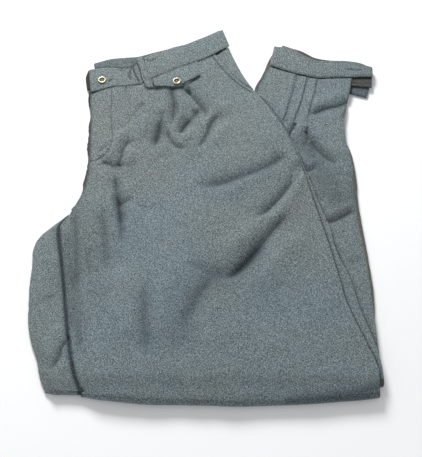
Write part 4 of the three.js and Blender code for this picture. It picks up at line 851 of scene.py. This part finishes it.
# Painted shade: the shield lies under the fly's edge, is cut from the shaded copy of the twill and is
# darkened more towards its top.
shield = cloth_shell("fly_shield_cloth", x, y, z, WALL, twill_in_painted_shade, 0.66 + 0.26 * ease((y - 190) / 30))
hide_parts("fly_shield")
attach(shield, "root")


# Waistband: doubled and stiffened twill. The left front's half lies on the back's, which shows as
# a strip above it, and the right half's buttonhole end looks out under the centre front.
BAND_ROWS = [  # its seam to the trousers x, y, and its top edge x, y
    (-184, 235, -189, 280), (-162, 242, -170, 283), (-146, 247, -153, 284), (-127, 248, -134, 282),
    (-107, 251, -118, 287), (-88, 262, -104, 303), (-67, 273, -80, 315), (-45, 284, -59, 324),
    (-25, 293, -38, 331), (-3, 303, -16, 341), (18, 316, 6, 353), (36, 329, 25, 362),
]
BACK_BAND_ROWS = [
    (-176, 262, -183, 295.5), (-150, 268, -157, 304.5), (-124, 270, -134, 307.5), (-102, 279, -113, 309.5),
    (-78, 290, -90, 317), (-42, 301, -53, 328.5), (-17, 313, -28, 337.5), (1, 323, -10, 346.5),
    (13, 330, 3, 354), (29, 339, 20, 364.5),
]
RIGHT_END_ROWS = [(-174, 286, -191, 285), (-173, 276, -194.5, 272), (-173, 266, -194, 262),
                  (-173, 247, -191, 245)]
BAND_PINCHES = [  # the line, how wide and how deep
    ([(-172, 283), (-153, 284), (-136, 282), (-124, 284)], 1.1, 0.75),
    ([(-116, 293), (-118, 282), (-114, 268), (-108, 256)], 2.0, 1.0),
    ([(-128, 281), (-134, 277), (-141, 279)], 1.6, 0.8), ([(-121, 284), (-124, 272), (-122, 262)], 2.4, 0.7),
    ([(-98, 300), (-92, 296), (-84, 301)], 1.8, 0.7), ([(-190, 281), (-188, 258), (-184, 234)], 2.6, 0.85),
]
BAND_HEIGHT, BACK_BAND_HEIGHT, RIGHT_END_HEIGHT = 9.2, 6.2, 2.6
across, along = panel_grid(BAND_ROWS, length=250, columns=37, lines=148)
x, y = panel_plan(BAND_ROWS, 0.012 + 0.988 * across, along)
ends = ease(along / 0.04) * ease((1 - along) / 0.05)
z = BAND_HEIGHT + 0.6 * ends * np.sin(across * math.pi) + 0.5 * np.sin(x / 11) ** 2
z = z + sway(x, y, 101, 24, 0.16)
z = z + 0.3 * np.sin(along * 130 + 3 * np.sin(along * 19)) * np.exp(-across / 0.13) * ends
# Painted shade beside the belt loop's edges and along the pinches, which are also pressed into the band.
painted_shade = np.maximum(beside([(-115, 300), (-107, 278), (-100, 253), (-96, 247)], x, y, 2.0),
                    beside([(-104, 303), (-96, 277), (-88, 253), (-86, 248)], x, y, 1.3))
for line, wide, deep in BAND_PINCHES:
    pinch = beside(line, x, y, wide)
    painted_shade = np.maximum(painted_shade, deep * pinch)
    z = z - 0.8 * pinch
band = cloth_shell("waistband_front_cloth", x, y, z, BAND_WALL, outside, painted_shade, grain="band")
across, along = panel_grid(BACK_BAND_ROWS, length=235, columns=25, lines=121)
x, y = panel_plan(BACK_BAND_ROWS, across, along)
z = BACK_BAND_HEIGHT - ease((across - 0.8) / 0.2) + sway(x, y, 102, 30, 0.12)
# Painted shade on the back band: darkened all over, most under the front band's top edge, and also along its
# own top edge and at its left end.
painted_shade = 0.34 + 0.66 * np.maximum(beside([(row[2] + 0.6, row[3] + 0.6) for row in BAND_ROWS], x, y, 3.4),
                                  0.6 * beside(edge_line(BACK_BAND_ROWS, 1), x, y, 1.6))
painted_shade = np.maximum(painted_shade, 0.8 * beside([(-176, 264), (-184, 296)], x, y, 4))
back_band = cloth_shell("waistband_back_cloth", x, y, z, BAND_WALL, outside, painted_shade, grain="band")
across, along = panel_grid(RIGHT_END_ROWS, length=40, columns=19, lines=31)
x, y = panel_plan(RIGHT_END_ROWS, across, along)
z = RIGHT_END_HEIGHT - 0.8 * ease((across - 0.6) / 0.4)
# Painted shade: the right end lies under the centre front, is cut from the shaded copy of the twill and is
# darkened all over.
right_end = cloth_shell("waistband_right_end_cloth", x, y, z, BAND_WALL, twill_in_painted_shade, 0.85 + 0 * x, grain="band")
for piece, node, finish, size, area, under in (
        (band, "waistband_left_front", "melange_cloth", (0.255, 0.046), 0.0101, "waistband_back"),
        (back_band, "waistband_back", "melange_cloth", (0.235, 0.036), 0.0067, "folded_layers"),
        (right_end, "waistband_right_end", "shaded_cloth", (0.04, 0.02), 0.0007, "folded_layers")):
    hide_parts(node)
    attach(piece, "root")


# Belt loop: a narrow strip folded in three, caught at the band's top edge and again below its
# seam. It stands a little off the band between the two.
LOOP_ROWS = [
    (-115, 300, -104, 304), (-111, 290, -101, 292), (-107, 278, -95, 277), (-104, 265, -90, 263),
    (-100, 253, -87, 252), (-95, 243, -85, 244),
]
LOOP_HEIGHT, LOOP_ARCH = 12.5, 1.7
across, along = panel_grid(LOOP_ROWS, length=66, columns=22, lines=61)
x, y = panel_plan(LOOP_ROWS, across, along)
z = LOOP_HEIGHT - 0.5 * ease((along - 0.75) / 0.2)
z = z + LOOP_ARCH * np.sin(np.clip(along / 0.86, 0, 1) * math.pi) ** 2
z = z + 0.4 * np.sin(across * math.pi) + 0.25 * np.sin(along * 24) * np.sin(across * math.pi)
loop = cloth_shell("belt_loop_cloth", x, y, z, WALL, outside, grain="band")
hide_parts("belt_loop")
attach(loop, "root")


# Coin-pocket flap: five-sided and doubled, its top edge caught in the waist seam. It lies on the
# pleats and is closed with a snap.
FLAP_ROWS = [
    (-82.5, 245, -87.5, 260.5), (-66, 244, -71, 269.5), (-48, 244.5, -54, 279), (-30, 255, -36, 287),
    (-11, 267, -16, 295.5),
]
FLAP_LOWEST = 13.0
across, along = panel_grid(FLAP_ROWS, length=82, columns=31, lines=67)
x, y = panel_plan(FLAP_ROWS, across, along)
z = np.maximum(thigh(x, y) + creases(FRONT_FOLDS, x, y)[0] * 0.4 + 2.7, FLAP_LOWEST)
z = z + sway(x, y, 111, 22, 0.1) + 1.3 * (1 - across) ** 2
# Painted shade beside the waist seam.
painted_shade = beside(WAIST_SEAM, x, y, 2.6)
flap = cloth_shell("coin_pocket_flap_cloth", x, y, z, WALL, outside, painted_shade, grain="band")
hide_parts("coin_pocket_flap")
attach(flap, "root")


# Top stitching in matching thread, three or four stitches to the centimetre, each one drawn a
# little into the cloth it holds.
thread, nodes, links, shader = node_material("matching_thread")
with_inputs(shader, Roughness=0.62, Sheen_Weight=0.2)
place = nodes.new("ShaderNodeTexCoord")
ply = with_inputs(nodes.new("ShaderNodeTexNoise"), Scale=1500)
tone = colour_ramp(nodes, (0, (0.030, 0.038, 0.045, 1)), (1, (0.085, 0.105, 0.118, 1)))
links.new(place.outputs["Object"], ply.inputs["Vector"])
links.new(ply.outputs["Fac"], tone.inputs["Fac"])
links.new(tone.outputs["Color"], shader.inputs["Base Color"])

stitch_mesh = bpy.data.meshes.new("one_stitch")
profile = ((-0.5, 0.25), (-0.34, 0.9), (0.0, 1.0), (0.34, 0.9), (0.5, 0.25))
points = [(length, 0.5 * radius * math.cos(k * math.pi / 3), 0.5 * radius * math.sin(k * math.pi / 3))
          for length, radius in profile for k in range(6)]
faces = [tuple(range(5, -1, -1)), tuple(range(24, 30))]
faces += [(line * 6 + k, line * 6 + (k + 1) % 6, line * 6 + 6 + (k + 1) % 6, line * 6 + 6 + k)
          for line in range(4) for k in range(6)]
stitch_mesh.from_pydata(points, [], faces)
stitch_mesh.shade_smooth()
one_stitch = bpy.data.objects.new("one_stitch", stitch_mesh)

sewing = bpy.data.node_groups.new("row_of_stitches", "GeometryNodeTree")
sewing.interface.new_socket("Path", in_out="INPUT", socket_type="NodeSocketGeometry")
for label in ("Pitch", "Length", "Thread"):
    sewing.interface.new_socket(label, in_out="INPUT", socket_type="NodeSocketFloat")
sewing.interface.new_socket("Stitches", in_out="OUTPUT", socket_type="NodeSocketGeometry")
build = sewing.nodes.new
way_in, way_out = build("NodeGroupInput"), build("NodeGroupOutput")
curve, even = build("GeometryNodeMeshToCurve"), build("GeometryNodeResampleCurve")
even.mode = "LENGTH"
tangent, turn = build("GeometryNodeInputTangent"), build("FunctionNodeAlignRotationToVector")
turn.axis = "X"
source, copies = build("GeometryNodeObjectInfo"), build("GeometryNodeInstanceOnPoints")
real, finish = build("GeometryNodeRealizeInstances"), build("GeometryNodeSetMaterial")
size = build("ShaderNodeCombineXYZ")
source.inputs["Object"].default_value = one_stitch
finish.inputs["Material"].default_value = thread
join = sewing.links.new
join(way_in.outputs["Path"], curve.inputs[0])
join(curve.outputs[0], even.inputs["Curve"])
join(way_in.outputs["Pitch"], even.inputs["Length"])
join(even.outputs[0], copies.inputs["Points"])
join(source.outputs["Geometry"], copies.inputs["Instance"])
join(tangent.outputs[0], turn.inputs["Vector"])
join(turn.outputs[0], copies.inputs["Rotation"])
join(way_in.outputs["Length"], size.inputs["X"])
join(way_in.outputs["Thread"], size.inputs["Y"])
join(way_in.outputs["Thread"], size.inputs["Z"])
join(size.outputs[0], copies.inputs["Scale"])
join(copies.outputs[0], real.inputs[0])
join(real.outputs[0], finish.inputs["Geometry"])
join(finish.outputs[0], way_out.inputs["Stitches"])


def lay_on(piece, line, lift=0.12, gap=1.2):
    """A smooth line laid on a piece of cloth, as points in metres, lift mm above it, gap mm apart."""
    path = smooth_path(line, 24)
    run = np.concatenate([[0], np.cumsum(np.hypot(*np.diff(path, axis=0).T))])
    want = np.linspace(0, run[-1], max(2, int(run[-1] / gap)))
    spots = []
    for px, py in zip(np.interp(want, run, path[:, 0]), np.interp(want, run, path[:, 1])):
        above = ((px - CENTRE[0]) * MM, (py - CENTRE[1]) * MM, 0.2)
        hit, spot, _, _ = piece.ray_cast(above, (0, 0, -1))
        if hit:
            spots.append((spot[0], spot[1], spot[2] + lift * MM))
    return spots


def sew(name, paths, pitch=2.9, length=2.2, width=0.55):
    """Rows of stitches along lines, each on its own piece of cloth, made one plain mesh. pitch is
    from one stitch to the next, and all are in mm."""
    verts, edges = [], []
    for piece, line in paths:
        spots = lay_on(piece, line)
        edges += [(len(verts) + k, len(verts) + k + 1) for k in range(len(spots) - 1)]
        verts += spots
    mesh = bpy.data.meshes.new(name)
    mesh.from_pydata(verts, edges, [])
    seam = bpy.data.objects.new(name, mesh)
    bpy.context.scene.collection.objects.link(seam)
    modifier = seam.modifiers.new("stitches", "NODES")
    modifier.node_group = sewing
    named = {item.name: item.identifier for item in sewing.interface.items_tree if item.in_out == "INPUT"}
    modifier[named["Pitch"]] = pitch * MM
    modifier[named["Length"]] = length * MM
    modifier[named["Thread"]] = width * MM
    bpy.context.view_layer.update()
    made = bpy.data.meshes.new_from_object(seam.evaluated_get(bpy.context.evaluated_depsgraph_get()))
    seam.modifiers.clear()
    seam.data = made
    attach(seam, "root")


def inset(rows, gap, edge, span=(0.02, 0.98)):
    """A line gap mm inside one long edge of a band: "low", its seam, or "high", its free edge."""
    place = np.linspace(*span, 14)
    columns = np.stack([read_rows(column, place) for column in np.array(rows, float).T], -1)
    low, high = columns[:, :2], columns[:, 2:]
    over = (high - low) / np.linalg.norm(high - low, axis=1, keepdims=True) * gap
    return (low + over if edge == "low" else high - over).tolist()


bpy.context.view_layer.update()
sew("fly_stitches", [(left_front, FLY_STITCH)])
sew("pocket_stitches", [(left_front, POCKET_STITCH)])
sew("flap_stitches", [(flap, [(-80, 249), (-66, 248), (-50, 248), (-46, 249.5), (-30, 259), (-14, 269)]),
                      (flap, [(-80, 249), (-82.5, 257)])])
sew("cuff_stitches", [(cuff_front, inset(CUFF_ROWS, 3.2, "high")),
                      (cuff_front, inset(CUFF_ROWS, 2.6, "low", (0.02, 0.72))),
                      (cuff_front, [(245, 287.6), (259.5, 283.6), (260.5, 271), (246, 270), (232, 269.6)])])
sew("tuck_stitches", [(right_shin, [(px + 2, py) for px, py in line[:5]]) for line in TUCK_LINES])
sew("slit_stitches", [(right_shin, SLIT_HEM)])
sew("loop_stitches", [(loop, [(-113, 298), (-105, 277), (-101, 264), (-97, 250)]),
                      (loop, [(-104, 301), (-97, 278), (-92, 264), (-88, 250)])])


# Buttonholes: one in the waistband beside its snap and one in the cuff's tab, each a slot worked
# over with close stitches all round, of which only the stitches are drawn.
def buttonhole(name, piece, start, end, width):
    """Close stitches round a long oval from start to end, on a piece of cloth."""
    (ax, ay), (bx, by) = start, end
    size = math.hypot(bx - ax, by - ay)
    ux, uy = (bx - ax) / size, (by - ay) / size
    oval = []
    for angle in np.linspace(0, 2 * math.pi, 29):
        u = math.copysign(abs(math.cos(angle)) ** 0.5, math.cos(angle)) * (size / 2)
        v = math.sin(angle) * width / 2
        oval.append(((ax + bx) / 2 + u * ux - v * uy, (ay + by) / 2 + u * uy + v * ux))
    sew(name, [(piece, oval)], pitch=0.7, length=1.3, width=0.75)


buttonhole("waist_buttonhole", band, (-157, 257), (-150, 261), width=2.0)
buttonhole("cuff_buttonhole", cuff_front, (221, 281.5), (246, 279.5), width=2.2)


# Ring snaps in pale nickel: a rolled ring round a sunk dark socket, pressed through the cloth. One
# closes the waistband and one the coin pocket's flap.
def metal(name, low, high, rough, worn):
    """Metal between two colours, with scuffs that change its roughness by worn each way."""
    material, nodes, links, shader = node_material(name)
    with_inputs(shader, Metallic=1.0)
    place = nodes.new("ShaderNodeTexCoord")
    scuff = with_inputs(nodes.new("ShaderNodeTexNoise"), Scale=620, Detail=4)
    links.new(place.outputs["Object"], scuff.inputs["Vector"])
    tone = colour_ramp(nodes, (0, low), (1, high))
    links.new(scuff.outputs["Fac"], tone.inputs["Fac"])
    links.new(tone.outputs["Color"], shader.inputs["Base Color"])
    gloss = with_inputs(nodes.new("ShaderNodeMapRange"), To_Min=rough - worn, To_Max=rough + worn)
    links.new(scuff.outputs["Fac"], gloss.inputs["Value"])
    links.new(gloss.outputs["Result"], shader.inputs["Roughness"])
    return material


nickel = metal("pale_nickel", (0.36, 0.34, 0.22, 1), (0.66, 0.63, 0.46, 1), rough=0.36, worn=0.1)
socket_metal = metal("dark_socket", (0.035, 0.033, 0.022, 1), (0.10, 0.095, 0.06, 1), rough=0.5, worn=0.12)


def turned(name, profile, centre, material, sides=56):
    """A closed ring or dished disc, from its radius and height in mm at each step."""
    points, faces = [], []
    cx, cy, cz = centre
    for radius, height in profile:
        for k in range(sides):
            angle = 2 * math.pi * k / sides
            points.append((cx + radius * math.cos(angle), cy + radius * math.sin(angle), cz + height))
    for line in range(len(profile)):
        following = (line + 1) % len(profile)
        for k in range(sides):
            faces.append((line * sides + k, line * sides + (k + 1) % sides,
                          following * sides + (k + 1) % sides, following * sides + k))
    return make_mesh(name, points, faces, np.zeros((len(points), 2)), material)


RING = [(3.75, 0.0), (5.8, 0.0), (6.1, 0.25), (6.2, 0.7), (6.1, 1.1), (5.85, 1.45), (5.5, 1.7), (5.1, 1.78),
        (4.7, 1.72), (4.35, 1.5), (4.1, 1.15), (3.95, 0.8), (3.8, 0.4)]
SOCKET = [(0.05, 0.0), (3.6, 0.0), (3.65, 0.35), (3.4, 0.6), (2.9, 0.62), (2.5, 0.4), (1.9, 0.28), (1.2, 0.3),
          (0.6, 0.5), (0.05, 0.56)]
for snap, plan in (("waist_snap", (-167, 258)), ("flap_snap", (-48, 252))):
    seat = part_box(snap + "_ring")[0][2] / MM
    ring = turned(snap + "_rolled_ring", RING, (*plan, seat), nickel)
    dish = turned(snap + "_dished_socket", SOCKET, (*plan, seat), socket_metal)
    for piece, part, finish in ((ring, "_ring", "ring_metal"), (dish, "_socket", "socket_metal")):
        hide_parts(snap + part)
        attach(piece, "root")


# The table, a plain pale floor, with a broad soft light from behind and above and a weaker fill.
# The camera looks down on it at 61 degrees.
pale, _, _, shader = node_material("pale_table")
with_inputs(shader, Base_Color=(0.9, 0.9, 0.9, 1), Roughness=0.9)
table_mesh = bpy.data.meshes.new("table_top")
corners = [(-4, -4, -0.0004), (4, -4, -0.0004), (4, 4, -0.0004), (-4, 4, -0.0004)]
table_mesh.from_pydata(corners, [], [(0, 1, 2, 3)])
table_mesh.materials.append(pale)
table_top = bpy.data.objects.new("table_top", table_mesh)
bpy.context.scene.collection.objects.link(table_top)

world = bpy.data.worlds.new("studio")
bpy.context.scene.world = world
world.use_nodes = True
with_inputs(world.node_tree.nodes["Background"], Color=(0.96, 0.98, 1.0, 1), Strength=0.46)
for label, spot, turn, size, power in (("key_light", (-0.55, 1.8, 1.2), (-56, -10, -15), 0.75, 68),
                                       ("fill_light", (0.5, -1.9, 1.0), (62, 0, 14), 1.8, 11)):
    lamp = bpy.data.lights.new(label, "AREA")
    lamp.size = size
    lamp.energy = power
    light = bpy.data.objects.new(label, lamp)
    light.location = spot
    light.rotation_euler = [math.radians(angle) for angle in turn]
    bpy.context.scene.collection.objects.link(light)

camera_data = bpy.data.cameras.new("camera")
camera_data.lens = 80.35
camera = bpy.data.objects.new("camera", camera_data)
camera.location = (-0.0005, -0.7726, 1.3147)
camera.rotation_euler = (math.radians(29), 0, 0)
bpy.context.scene.collection.objects.link(camera)
bpy.context.scene.camera = camera
bpy.context.scene.view_settings.view_transform = "Standard"
